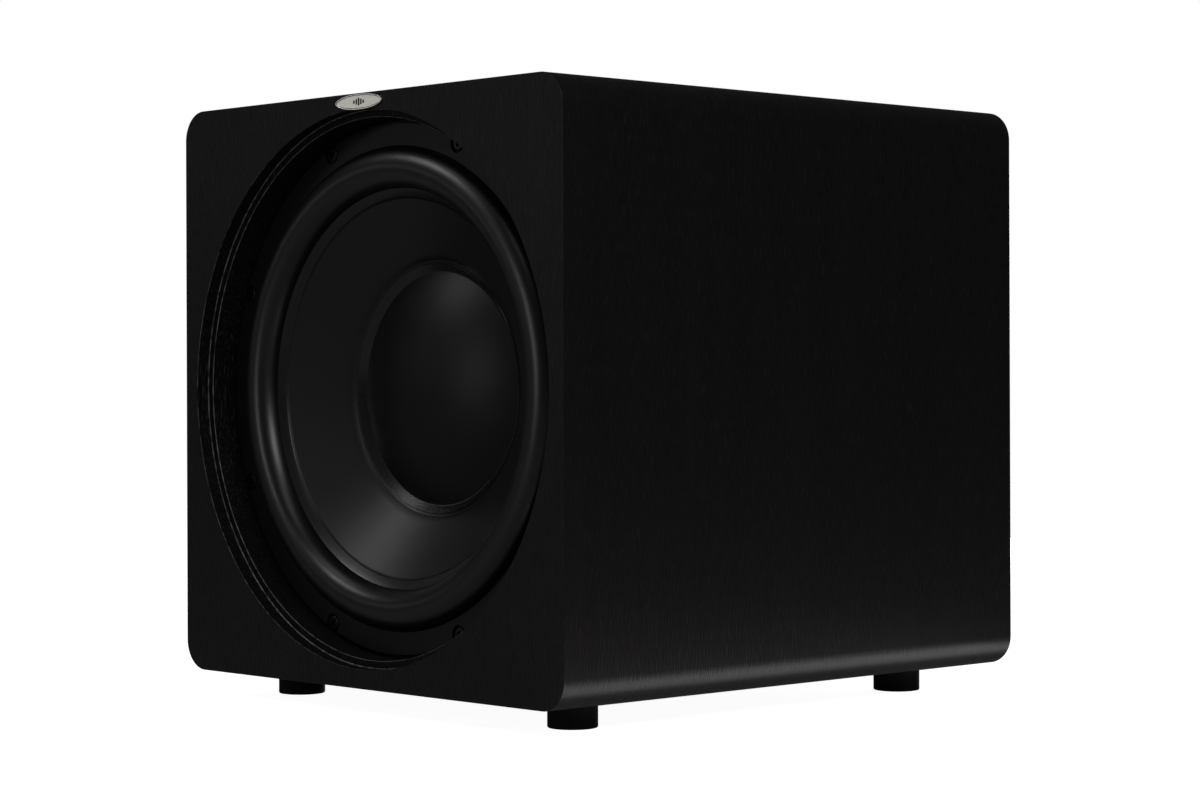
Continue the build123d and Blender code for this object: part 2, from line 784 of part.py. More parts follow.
def heat_sink():
    base = board(SINK_W, SINK_H, SINK_X, MIDDLE_Z)
    sink = slab(base, PLATE_BACK, PLATE_BACK + SINK_BASE)
    pitch = (SINK_W - FIN_T) / (FINS - 1)
    for k in range(FINS):
        x = SINK_X - (SINK_W - FIN_T) / 2 + k * pitch
        fin = board(FIN_T, SINK_H, x, MIDDLE_Z)
        sink += slab(fin, PLATE_BACK + SINK_BASE, PLATE_BACK + SINK_BASE + FIN_H)
    return sink


def amplifier_housing():
    """Steel box that seals the amplifier off from the air in the cabinet."""
    width = CUTOUT_W - 2 * HOUSING_GAP
    height = CUTOUT_H - 2 * HOUSING_GAP
    front = PLATE_FRONT - HOUSING_LENGTH
    body = slab(board(width, height, 0, MIDDLE_Z), front, PLATE_FRONT)
    room = board(width - 2 * HOUSING_WALL, height - 2 * HOUSING_WALL, 0, MIDDLE_Z)
    body -= slab(room, front + HOUSING_WALL, PLATE_FRONT)
    x, z = cable_entry()
    return body - slab(disc(CABLE_R + EASY, x, z), front, front + HOUSING_WALL)


def cable_entry():
    return 0.0, DRIVER_Z + 100.0


def speaker_cable():
    """Twin cable from the driver's terminals to the amplifier, clear of magnet and brace."""
    start = SPIDER_DEPTH - 6 + TERMINAL[1] + 0.5
    end = PLATE_FRONT - HOUSING_LENGTH + HOUSING_WALL
    rise = SPIDER_R + 1 + FRAME_WALL + TERMINAL[2] / 2
    mid = BRACE_DEPTH + BRACE_T / 2
    route = [(start, rise), (start + 14, rise - 2), (mid, 109), (mid + 42, 106), (mid + 84, 109)]
    route += [(end - 30, 102), (end, 100)]
    return tube([(0, FRONT_Y + depth, DRIVER_Z + z) for depth, z in route], CABLE_R)


def board_front():
    return PLATE_FRONT - BOARD_STANDOFF - BOARD[2]


def circuit_board():
    return slab(board(BOARD[0], BOARD[1], *on_plate(BOARD_PLACE)), board_front(), board_front() + BOARD[2])


def board_standoffs():
    x, z = on_plate(BOARD_PLACE)
    posts = []
    for sx in (-1, 1):
        for sz in (-1, 1):
            post_x = x + sx * (BOARD[0] / 2 - STANDOFF_INSET)
            post_z = z + sz * (BOARD[1] / 2 - STANDOFF_INSET)
            hexagon = Pos(post_x, post_z) * RegularPolygon(STANDOFF_R, 6)
            posts.append(slab(hexagon, PLATE_FRONT - BOARD_STANDOFF, PLATE_FRONT))
    return group(posts)


def capacitors():
    cans = []
    for place in CAPACITOR_PLACES:
        can = slab(disc(CAPACITOR_R, *on_plate(place)), board_front() - CAPACITOR_H, board_front())
        cans.append(fillet(can.edges().group_by(Axis.Y)[0], 1.5))
    return group(cans)


def transformer():
    front = PLATE_FRONT - HOUSING_LENGTH + HOUSING_WALL
    shape = disc(TOROID_R, *on_plate(TOROID_PLACE)) - disc(TOROID_IN_R, *on_plate(TOROID_PLACE))
    ring = slab(shape, front, front + TOROID_H)
    return fillet(ring.edges().filter_by(GeomType.CIRCLE), TOROID_ROUND)


def potentiometers():
    pots = []
    for place in KNOB_PLACES.values():
        x, z = on_plate(place)
        pot = slab(disc(POT_R, x, z), PLATE_FRONT - POT_LENGTH, PLATE_FRONT)
        pot += slab(disc(BUSHING_R, x, z), PLATE_FRONT, PLATE_BACK + BUSHING_H)
        bore = disc(SHAFT_R + RUNNING, x, z)
        pots.append(pot - slab(bore, PLATE_FRONT - POT_LENGTH + 2, PLATE_BACK + BUSHING_H))
    return group(pots)


def knob_front():
    return PLATE_BACK + KNOB_GAP


def knob(place):
    """Fluted knob with a pointer slot, hollow where it passes over the bushing."""
    x, z = on_plate(place)
    front = knob_front()
    back = front + KNOB_H
    body = slab(disc(KNOB_R, x, z), front, back)
    body = chamfer(body.edges().group_by(Axis.Y)[-1], 0.8)
    for k in range(KNOB_FLUTES):
        angle = radians((k + 0.5) * 360 / KNOB_FLUTES)
        flute = disc(0.7, x + KNOB_R * sin(angle), z + KNOB_R * cos(angle))
        body -= slab(flute, front + 1, back)
    body -= slab(board(1.0, KNOB_R * 0.6, x, z + KNOB_R * 0.6), back - 0.6, back)
    body -= slab(disc(BUSHING_R + 0.6, x, z), front, PLATE_BACK + BUSHING_H + 0.5)
    return body - slab(disc(SHAFT_R, x, z), front, back - 1.5)


def knob_shaft(place):
    x, z = on_plate(place)
    return slab(disc(SHAFT_R, x, z), PLATE_FRONT - POT_LENGTH + 2.5, knob_front() + KNOB_H - 1.5)


def toggle_switch():
    x, z = on_plate(TOGGLE_PLACE)
    width, height, length = TOGGLE_BODY
    body = slab(board(width, height, x, z), PLATE_FRONT - length, PLATE_FRONT)
    top = PLATE_BACK + TOGGLE_BUSHING_H
    body += slab(disc(TOGGLE_BUSHING_R, x, z), PLATE_FRONT, top)
    return body - slab(disc(TOGGLE_BORE_R, x, z), PLATE_FRONT - length + 3, top)


def toggle_lever():
    """Bat lever, tilted up at rest."""
    x, z = on_plate(TOGGLE_PLACE)
    pivot_y = FRONT_Y + PLATE_FRONT - TOGGLE_PIVOT
    ball = Sphere(1.8)
    bat = Pos(0, 0, TOGGLE_LENGTH / 2) * Cone(0.9, 1.6, TOGGLE_LENGTH - 3)
    tip = Pos(0, 0, TOGGLE_LENGTH - 1.5) * Sphere(1.6)
    stem = Pos(0, 0, 1.5) * Cylinder(0.9, 3)
    lever = (ball + stem + bat + tip).rotate(Axis.X, -90 + TOGGLE_TILT)
    return Pos(x, pivot_y, z) * lever


def status_light():
    x, z = on_plate(LED_PLACE)
    body = slab(disc(LED_R, x, z), PLATE_FRONT - 2, PLATE_BACK + 1.5)
    return fillet(body.edges().group_by(Axis.Y)[-1], LED_R - 0.2)


def line_jacks():
    """Four sleeves, each with a shoulder just behind its insulator's collar."""
    shoulder = PLATE_BACK + JACK_SHOULDER
    sleeves = []
    for place in JACK_PLACES:
        bore = disc(JACK_R - JACK_WALL, *on_plate(place))
        seat = slab(disc(JACK_SEAT_R, *on_plate(place)) - bore, PLATE_FRONT - 8, shoulder)
        barrel = slab(disc(JACK_R, *on_plate(place)) - bore, shoulder, PLATE_BACK + JACK_H)
        sleeves.append(seat + barrel)
    return group(sleeves)


def jack_insulators():
    pieces = []
    for place in JACK_PLACES:
        x, z = on_plate(place)
        hole = disc(JACK_SEAT_R + SLACK, x, z)
        pieces.append(
            slab(disc(JACK_COLLAR_R, x, z) - hole, PLATE_BACK, PLATE_BACK + JACK_COLLAR)
            + slab(disc(JACK_NECK_R, x, z) - hole, PLATE_FRONT, PLATE_BACK)
        )
        core = disc(JACK_R - JACK_WALL, x, z) - disc(JACK_PIN_R, x, z)
        pieces.append(slab(core, PLATE_FRONT - 8, PLATE_BACK + JACK_H - 6))
    return group(pieces)


def rocker_pivot_depth():
    return PLATE_FRONT + 0.5


def power_switch():
    x, z = on_plate(ROCKER_PLACE)
    width, height, length = ROCKER_BODY
    well_w, well_h, well_depth = ROCKER_WELL
    back = PLATE_BACK + ROCKER_FLANGE_T
    body = slab(board(width, height, x, z), PLATE_BACK - length, PLATE_BACK)
    rim = board(width + 2 * ROCKER_FLANGE, height + 2 * ROCKER_FLANGE, x, z)
    body += slab(rim, PLATE_BACK, back)
    return body - slab(board(well_w, well_h, x, z), back - well_depth, back)


def power_rocker():
    """Shallow V across the switch's well, resting on one side."""
    x, z = on_plate(ROCKER_PLACE)
    half_w = ROCKER_WELL[0] / 2 - ROCKER_SIDE_GAP
    half_h = ROCKER_WELL[1] / 2 - ROCKER_END_GAP
    side = outline((-half_h, -2), (0, -3), (half_h, -2), (half_h, 5), (0, 3.4), (-half_h, 5))
    face = Plane.YZ * Plane.XY.rotated((0, 0, 90)) * make_face(side)
    rocker = extrude(face, half_w, both=True)
    rocker = Pos(x, FRONT_Y + rocker_pivot_depth(), z) * rocker
    pivot = Axis((x, FRONT_Y + rocker_pivot_depth(), z), (1, 0, 0))
    return rocker.rotate(pivot, ROCKER_TILT)


def socket_outline(width, height):
    """An inlet's outline: a rectangle with its two upper corners cut off."""
    x, z = on_plate(INLET_PLACE)
    shape = Rectangle(width, height)
    shape = chamfer(shape.vertices().group_by(Axis.Y)[-1], INLET_CHAMFER)
    return Pos(x, z) * shape


def inlet_pin_sketches():
    x, z = on_plate(INLET_PLACE)
    return [board(*INLET_PIN, x + px, z + pz) for px, pz in INLET_PINS]


def mains_inlet():
    x, z = on_plate(INLET_PLACE)
    back = PLATE_BACK + INLET_FLANGE[2]
    flange = Pos(x, z) * RectangleRounded(INLET_FLANGE[0], INLET_FLANGE[1], 3)
    for screw_x, screw_z in inlet_screw_places():
        flange -= disc(INLET_SCREW_R + SLACK, screw_x, screw_z)
    body = slab(flange, PLATE_BACK, back)
    body += slab(board(INLET_BODY[0], INLET_BODY[1], x, z), PLATE_BACK - INLET_BODY[2], PLATE_BACK)
    body -= slab(socket_outline(*INLET_SOCKET[:2]), back - INLET_SOCKET[2], back)
    for pin in inlet_pin_sketches():
        body -= slab(pin, PLATE_BACK - INLET_BODY[2], back)
    return body


def inlet_pins():
    tip = PLATE_BACK + INLET_FLANGE[2] - INLET_PIN_SETBACK
    return group(slab(pin, tip - INLET_PIN_LENGTH, tip) for pin in inlet_pin_sketches())


def inlet_screws():
    seat = PLATE_BACK + INLET_FLANGE[2]
    sizes = (INLET_SCREW_R, INLET_SCREW_HEAD_R, INLET_SCREW_HEAD_H, INLET_SCREW_LENGTH)
    return group(pan_screw(x, z, seat, *sizes) for x, z in inlet_screw_places())


# ---- All sub-parts -------------------------------------------------------------------------------


def nodes():
    """Every sub-part by its node name."""
    found = {
        "side_panels": side_panels(),
        "top_panel": level_panel(1),
        "bottom_panel": bottom_panel(),
        "corner_blocks": corner_blocks(),
        "front_baffle": front_baffle(),
        "driver_baffle": driver_baffle(),
        "window_brace": window_brace(),
        "back_panel": back_panel(),
        "back_cleats": back_cleats(),
        "damping_lining": damping_lining(),
        "veneer_wrap": veneer_wrap(),
        "veneer_front": veneer_front(),
        "feet": group(foot(x, y) for x, y in foot_places()),
        "foot_screws": group(foot_screw(x, y) for x, y in foot_places()),
        "badge": badge(),
        "badge_inlay": badge_inlay(),
        "basket": basket(),
        "basket_gasket": basket_gasket(),
        "trim_ring": trim_ring(),
        "driver_screws": driver_screws(),
        "tee_nuts": tee_nuts(),
        "terminal_strip": terminal_strip(),
        "surround": surround(),
        "cone": cone(),
        "dust_cap": dust_cap(),
        "voice_coil_former": voice_coil_former(),
        "voice_coil": voice_coil(),
        "spider": spider(),
        "tinsel_leads": tinsel_leads(),
        "top_plate": top_plate(),
        "magnet": magnet(),
        "yoke": yoke(),
        "magnet_boot": magnet_boot(),
        "speaker_cable": speaker_cable(),
        "amplifier_plate": amplifier_plate(),
        "plate_gasket": plate_gasket(),
        "plate_screws": plate_screws(),
        "heat_sink": heat_sink(),
        "amplifier_housing": amplifier_housing(),
        "circuit_board": circuit_board(),
        "board_standoffs": board_standoffs(),
        "capacitors": capacitors(),
        "transformer": transformer(),
        "potentiometers": potentiometers(),
        "toggle_switch": toggle_switch(),
        "toggle_lever": toggle_lever(),
        "status_light": status_light(),
        "line_jacks": line_jacks(),
        "jack_insulators": jack_insulators(),
        "power_switch": power_switch(),
        "power_rocker": power_rocker(),
        "mains_inlet": mains_inlet(),
        "inlet_pins": inlet_pins(),
        "inlet_screws": inlet_screws(),
    }
    for name, place in KNOB_PLACES.items():
        found[name + "_knob"] = knob(place)
        found[name + "_shaft"] = knob_shaft(place)
    return found


os.makedirs("parts", exist_ok=True)
for name, shape in nodes().items():
    export_step(shape, f"parts/{name}.step")
    print(f"{name}: {len(shape.solids())} solids, {shape.volume:.0f} mm3")
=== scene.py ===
"""The looks of a powered subwoofer cabinet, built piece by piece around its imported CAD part.

Metres, +Z up, front towards -Y.  A "depth" is a distance behind the front face, towards +Y.
"""

import math

import bmesh
import bpy
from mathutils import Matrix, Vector
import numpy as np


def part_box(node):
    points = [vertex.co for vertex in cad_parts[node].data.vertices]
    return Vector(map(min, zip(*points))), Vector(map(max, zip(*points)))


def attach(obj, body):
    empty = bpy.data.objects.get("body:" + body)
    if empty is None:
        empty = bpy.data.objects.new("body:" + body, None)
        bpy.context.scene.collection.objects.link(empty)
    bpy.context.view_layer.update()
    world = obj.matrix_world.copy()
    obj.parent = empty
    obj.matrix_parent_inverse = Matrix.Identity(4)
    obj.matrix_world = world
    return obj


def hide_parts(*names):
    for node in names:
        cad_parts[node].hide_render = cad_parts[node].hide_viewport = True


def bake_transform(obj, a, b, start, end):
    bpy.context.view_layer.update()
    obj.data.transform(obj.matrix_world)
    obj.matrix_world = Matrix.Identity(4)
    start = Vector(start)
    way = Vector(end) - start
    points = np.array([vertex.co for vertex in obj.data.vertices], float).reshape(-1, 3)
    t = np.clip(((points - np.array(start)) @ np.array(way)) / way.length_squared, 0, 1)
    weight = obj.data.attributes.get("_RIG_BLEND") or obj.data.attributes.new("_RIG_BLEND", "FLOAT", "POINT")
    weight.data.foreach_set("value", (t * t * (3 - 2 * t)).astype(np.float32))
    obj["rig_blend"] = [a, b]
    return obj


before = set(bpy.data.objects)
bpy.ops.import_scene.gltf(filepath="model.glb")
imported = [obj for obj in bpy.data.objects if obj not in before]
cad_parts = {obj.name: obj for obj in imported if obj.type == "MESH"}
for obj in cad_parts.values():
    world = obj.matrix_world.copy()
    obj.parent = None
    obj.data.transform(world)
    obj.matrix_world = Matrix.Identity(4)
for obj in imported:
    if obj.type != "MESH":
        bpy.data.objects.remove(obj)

bl_info = {
    "name": "Subwoofer cabinet",
    "version": (1, 0, 0),
    "blender": (4, 5, 0),
    "location": "View3D > Sidebar > Cabinet",
    "description": "Builds a powered subwoofer cabinet, its driver and its amplifier plate",
    "category": "Object",
}

CABINET = "cabinet"
DIAPHRAGM = "diaphragm"


# ---- Sizes ---------------------------------------------------------------------------------------


def length(name, default, description):
    """A size in metres, for the sidebar."""
    return bpy.props.FloatProperty(
        name=name, default=default, description=description, unit="LENGTH", precision=5, min=0.0
    )


class BoxSizes(bpy.types.PropertyGroup):
    edge_round: length("Long edges", 0.022, "Radius of the four long edges of the box")
    veneer: length("Veneer", 0.0006, "Thickness of the veneer")
    front_ease: length("Front edge", 0.0005, "Rounding where the front meets the sides")
    grille_r: length("Grille recess", 0.1985, "Radius of the step that takes a grille")
    grille_depth: length("Recess depth", 0.0105, "Depth of that step")
    bore_r: length("Opening", 0.1928, "Radius of the opening behind the step")
    bore_ease: length("Opening edges", 0.0006, "Rounding of the edges inside the opening")
    foot_ease: length("Foot edge", 0.0012, "Rounding round the underside of a foot")
    badge_rim: length("Badge rim", 0.0011, "Width of the badge's raised rim")
    badge_sink: length("Badge field", 0.0005, "How far the badge's field lies below its rim")


class DriverSizes(bpy.types.PropertyGroup):
    ring_in: length("Ring inside", 0.1735, "Inner radius of the trim ring")
    ring_front: length("Ring front", 0.030, "Depth of the trim ring's face")
    bolt_circle: length("Bolt circle", 0.1855, "Radius on which the eight screws stand")
    notch_r: length("Notch", 0.007, "Radius of the notch round a screw head")
    head_r: length("Screw head", 0.005, "Radius of a socket head")
    roll_in: length("Roll inside", 0.1435, "Inner radius of the surround's roll")
    roll_peak: length("Roll peak", 0.020, "Depth of the top of the roll")
    rubber: length("Rubber", 0.0014, "Thickness of the surround's roll")
    lip: length("Glued lip", 0.0007, "Thickness of the lip glued to the cone")
    lip_in: length("Lip inside", 0.1373, "Inner radius of the glued lip")
    cone_r: length("Cone", 0.145, "Radius of the cone's rim")
    cone_edge: length("Cone rim depth", 0.0342, "Depth of the cone's rim")
    cone_slope: bpy.props.FloatProperty(
        name="Cone slope", default=0.667, description="Depth gained for each unit inwards"
    )
    cone_wall: length("Cone wall", 0.0016, "Thickness of the cone")
    former_r: length("Former", 0.0326, "Radius of the voice coil former")
    cap_rim_r: length("Cap rim", 0.0908, "Outer radius of the dust cap's rim")
    cap_dome_r: length("Cap dome", 0.0845, "Radius of the dust cap's dome")
    cap_rim: length("Cap rim height", 0.0009, "Thickness of the dust cap's rim")
    cap_rise: length("Cap rise", 0.021, "Height of the dome")
    cap_wall: length("Cap wall", 0.0011, "Thickness of the dust cap")


class PlateSizes(bpy.types.PropertyGroup):
    corner: length("Plate corner", 0.008, "Corner radius of the amplifier plate")
    ease: length("Plate edge", 0.0005, "Rounding of the plate's edges")
    knob_r: length("Knob", 0.0085, "Radius of a knob")
    knob_h: length("Knob height", 0.0085, "Height of a knob")
    fin: length("Fin", 0.002, "Thickness of a heat sink fin")
    sink_base: length("Sink base", 0.002, "Thickness of the heat sink's base")
    screw_r: length("Screw head", 0.004, "Radius of a plate screw's head")
    jack_r: length("Line socket", 0.00415, "Radius of a line socket's sleeve")


# ---- Modelling helpers ---------------------------------------------------------------------------


def put_down():
    """Leaves edit mode with nothing selected."""
    if bpy.context.mode != "OBJECT":
        bpy.ops.object.mode_set(mode="OBJECT")
    bpy.ops.object.select_all(action="DESELECT")


def take(obj):
    """Selects one object and makes it the active one."""
    put_down()
    obj.select_set(True)
    bpy.context.view_layer.objects.active = obj


def settle(obj):
    """Puts an object's place, turn and scale into its mesh."""
    take(obj)
    bpy.ops.object.transform_apply(location=True, rotation=True, scale=True)


def pick(obj, wanted, kind="faces"):
    """In edit mode, selects the faces, edges or verts for which wanted(part) is true."""
    mode = {"faces": "FACE", "edges": "EDGE", "verts": "VERT"}[kind]
    bpy.ops.mesh.select_mode(type=mode)
    bpy.ops.mesh.select_all(action="DESELECT")
    shape = bmesh.from_edit_mesh(obj.data)
    for part in getattr(shape, kind):
        part.select_set(bool(wanted(part)))
    shape.select_flush_mode()
    bmesh.update_edit_mesh(obj.data)


def modify(obj, kind, **settings):
    """Adds a modifier and applies it."""
    take(obj)
    modifier = obj.modifiers.new(kind.lower(), kind)
    for key, value in settings.items():
        setattr(modifier, key, value)
    bpy.ops.object.modifier_apply(modifier=modifier.name)


def cut(obj, cutter):
    """Takes the cutter's shape out of an object."""
    modify(obj, "BOOLEAN", operation="DIFFERENCE", solver="EXACT", object=cutter)
    bpy.data.objects.remove(cutter)


def ease(obj, width, segments=2, angle=40.0):
    """Rounds every edge sharper than the angle."""
    limit = math.radians(angle)
    modify(obj, "BEVEL", width=width, segments=segments, limit_method="ANGLE", angle_limit=limit)


def bevel_edges(obj, wanted, width, segments):
    """Rounds the edges for which wanted(edge) is true."""
    take(obj)
    bpy.ops.object.mode_set(mode="EDIT")
    pick(obj, wanted, "edges")
    bpy.ops.mesh.bevel(offset=width, segments=segments, affect="EDGES")
    put_down()


def runs_back(least):
    """A test of whether an edge runs from front to back by more than the least length."""
    return lambda edge: abs(edge.verts[0].co.y - edge.verts[1].co.y) > least


def outwards(obj):
    """Merges doubles and turns every face outwards."""
    take(obj)
    bpy.ops.object.mode_set(mode="EDIT")
    bpy.ops.mesh.select_mode(type="VERT")
    bpy.ops.mesh.select_all(action="SELECT")
    bpy.ops.mesh.remove_doubles(threshold=1e-6)
    bpy.ops.mesh.normals_make_consistent(inside=False)
    put_down()


def close_gaps(obj):
    """Welds the slivers that a cut can leave and fills what stays open."""
    modify(obj, "WELD", merge_threshold=2e-5)
    take(obj)
    bpy.ops.object.mode_set(mode="EDIT")
    bpy.ops.mesh.select_mode(type="VERT")
    bpy.ops.mesh.select_all(action="DESELECT")
    bpy.ops.mesh.select_non_manifold()
    bpy.ops.mesh.fill_holes(sides=12)
    put_down()
    outwards(obj)


def block(name, low, high):
    """A box between two corners, ready to shape."""
    low, high = Vector(low), Vector(high)
    put_down()
    bpy.ops.mesh.primitive_cube_add(size=1.0, location=(low + high) / 2)
    obj = bpy.context.object
    obj.name = name
    obj.scale = high - low
    settle(obj)
    return obj


def arc(x, y, r, start, end, steps):
    """Points of an arc, from one angle to another in degrees."""
    turns = [math.radians(start + (end - start) * k / steps) for k in range(steps + 1)]
    return [(x + r * math.cos(a), y + r * math.sin(a)) for a in turns]


def turned(name, profile, at, along="Y", segments=96):
    """A solid turned about a line through at.  profile holds (radius, distance along the line) and is
    closed from its last point to its first, or along the line where it starts or ends on it."""
    points = list(profile)
    first_pole = points.pop(0) if points[0][0] == 0 else None
    put_down()
    radius, height = points[0]
    bpy.ops.mesh.primitive_circle_add(vertices=segments, radius=radius, location=(0, 0, height))
    obj = bpy.context.object
    obj.name = name
    settle(obj)
    bpy.ops.object.mode_set(mode="EDIT")
    bpy.ops.mesh.select_mode(type="EDGE")
    bpy.ops.mesh.select_all(action="SELECT")

    def step(old, new):
        bpy.ops.mesh.extrude_edges_move(TRANSFORM_OT_translate={"value": (0, 0, new[1] - old[1])})
        if new[0] == 0:
            bpy.ops.mesh.merge(type="CENTER")
        elif new[0] != old[0]:
            ratio = new[0] / old[0]
            bpy.ops.transform.resize(value=(ratio, ratio, 1), center_override=(0, 0, 0))

    for old, new in zip(points, points[1:]):
        step(old, new)
    if first_pole:
        bpy.ops.mesh.select_all(action="DESELECT")
        bpy.ops.mesh.select_mode(type="EDGE")
        bpy.ops.mesh.select_non_manifold()
        step(points[0], first_pole)
    elif points[-1][0] != 0:
        bpy.ops.mesh.select_all(action="DESELECT")
        bpy.ops.mesh.select_non_manifold()
        bpy.ops.mesh.bridge_edge_loops()
    put_down()
    if along == "Y":
        obj.rotation_euler = (-math.pi / 2, 0, 0)
    obj.location = at
    settle(obj)
    outwards(obj)
    return obj


def eased(points, radius, steps=3):
    """A closed outline of (radius, distance) points with each of its corners rounded."""
    made = []
    for k, corner in enumerate(points):
        corner = Vector(corner)
        before = (Vector(points[k - 1]) - corner).normalized()
        after = (Vector(points[(k + 1) % len(points)]) - corner).normalized()
        half = before.angle(after) / 2
        if half > math.radians(80):
            made.append(tuple(corner))
            continue
        cut_back = radius / math.tan(half)
        start, end = corner + before * cut_back, corner + after * cut_back
        for j in range(steps + 1):
            t = j / steps
            made.append(tuple(start * (1 - t) ** 2 + corner * 2 * t * (1 - t) + end * t**2))
    return made


def copies(obj, name, moves):
    """Copies a piece, each copy with its own mesh, and moves each one.  The first is the piece itself."""
    made = [obj]
    for _ in moves[1:]:
        take(obj)
        bpy.ops.object.duplicate(linked=False)
        made.append(bpy.context.object)
    for k, (piece, move) in enumerate(zip(made, moves)):
        piece.name = f"{name}_{k + 1}"
        piece.location = move
        settle(piece)
    return made


def shade(obj, angle, flat_faces):
    """Smooth shading up to an angle, with large flat faces kept flat where asked."""
    take(obj)
    bpy.ops.object.shade_smooth_by_angle(angle=math.radians(angle))
    if flat_faces:
        modify(obj, "WEIGHTED_NORMAL", keep_sharp=True, weight=100)
    put_down()


def dress(obj, finish, slot, body, *nodes, angle=35.0, flat_faces=False):
    """Gives a piece its finish and its body, and hides the CAD nodes it stands for.  slot is not used."""
    shade(obj, angle, flat_faces)
    obj.data.materials.clear()
    obj.data.materials.append(finish)
    if body:
        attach(obj, body)
    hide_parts(*nodes)
    return obj


def repaint(nodes, finish):
    """Gives carried-over CAD nodes a finish of their own."""
    for node in nodes:
        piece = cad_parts[node]
        for k in range(len(piece.material_slots)):
            piece.material_slots[k].material = finish


def reach_test(limit, or_at=False):
    """A test of whether a face lies nearer the driver's axis than a limit, or at it where asked."""
    axis = driver_axis()

    def inside(face):
        away = face.center - axis
        reach = math.hypot(away.x, away.z)
        return reach <= limit if or_at else reach < limit

    return inside


def second_finish(obj, finish, wanted):
    """Gives the faces for which wanted(face) is true a second finish."""
    obj.data.materials.append(finish)
    for face in obj.data.polygons:
        if wanted(face):
            face.material_index = 1


def front_y():
    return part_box("veneer_front")[0].y


def driver_axis(depth=0.0):
    """The point of the driver's axis at a depth."""
    low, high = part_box("trim_ring")
    return Vector((0, front_y() + depth, (low.z + high.z) / 2))


def bolt_places(sizes):
    """X and Z of the eight driver screws."""
    middle = driver_axis()
    turns = [math.radians(22.5 + 45 * k) for k in range(8)]
    return [(sizes.bolt_circle * math.cos(a), middle.z + sizes.bolt_circle * math.sin(a)) for a in turns]


# ---- Finishes ------------------------------------------------------------------------------------


def colour(code):
    """An sRGB hex value as linear RGBA."""
    parts = [int(code[k : k + 2], 16) / 255 for k in (1, 3, 5)]
    return tuple(c / 12.92 if c <= 0.04045 else ((c + 0.055) / 1.055) ** 2.4 for c in parts) + (1.0,)


def add(tree, kind, links=None, **settings):
    """Adds one node.  links maps an input to a socket or a value, settings are the node's own."""
    node = tree.nodes.new(kind)
    for key, value in settings.items():
        setattr(node, key, value)
    for key, value in (links or {}).items():
        if isinstance(value, bpy.types.NodeSocket):
            tree.links.new(value, node.inputs[key])
        else:
            node.inputs[key].default_value = value
    return node


def new_finish(name, **sockets):
    """A material with one shader.  sockets are values that are the same all over."""
    material = bpy.data.materials.new(name)
    material.use_nodes = True
    tree = material.node_tree
    tree.nodes.clear()
    values = {key.replace("_", " "): value for key, value in sockets.items()}
    shader = add(tree, "ShaderNodeBsdfPrincipled", values)
    add(tree, "ShaderNodeOutputMaterial", {"Surface": shader.outputs[0]})
    return material, tree, shader


def spread(tree, size, source="Object"):
    """Coordinates measured in a pattern's own size, in metres along each of its axes."""
    if source == "UV":
        place = add(tree, "ShaderNodeUVMap").outputs[0]
    else:
        place = add(tree, "ShaderNodeTexCoord").outputs["Object"]
    scale = tuple(1.0 / s for s in size)
    return add(tree, "ShaderNodeVectorMath", {0: place, 1: scale}, operation="MULTIPLY").outputs[0]


def noise(tree, size, detail=2.0, source="Object", kind="ShaderNodeTexNoise"):
    """Noise whose grains have this size in metres."""
    return add(tree, kind, {"Vector": spread(tree, size, source), "Scale": 1.0, "Detail": detail})


def between(tree, value, low, high, out_low=0.0, out_high=1.0):
    """A value taken from one range to another."""
    return add(tree, "ShaderNodeMapRange", {0: value, 1: low, 2: high, 3: out_low, 4: out_high}).outputs[0]


def blended(tree, factor, first, second):
    """One colour turning into another."""
    return add(tree, "ShaderNodeMix", {0: factor, 6: first, 7: second}, data_type="RGBA").outputs[2]


def relief(tree, height, distance, under=None):
    """A bump of this height in metres."""
    links = {"Height": height, "Distance": distance, "Strength": 1.0}
    if under:
        links["Normal"] = under
    return add(tree, "ShaderNodeBump", links).outputs[0]


def finished(tree, shader, tone, rough, bumps):
    """Links a pattern's colour, roughness and relief to the shader."""
    tree.links.new(tone, shader.inputs["Base Color"])
    tree.links.new(rough, shader.inputs["Roughness"])
    tree.links.new(bumps, shader.inputs["Normal"])


def speckled(name, dark, light, size, rough, bump, detail=3.0, **sockets):
    """A finish of fine grains: their colour, roughness and height vary together.
    size is the grain in metres along X, Y and Z, and bump is its height."""
    material, tree, shader = new_finish(name, **sockets)
    grain = noise(tree, size, detail).outputs[0]
    tint = between(tree, grain, 0.32, 0.68)
    tone = blended(tree, tint, colour(dark), colour(light))
    finished(tree, shader, tone, between(tree, grain, 0.3, 0.7, *rough), relief(tree, grain, bump))
    return material


def even(size):
    return (size, size, size)


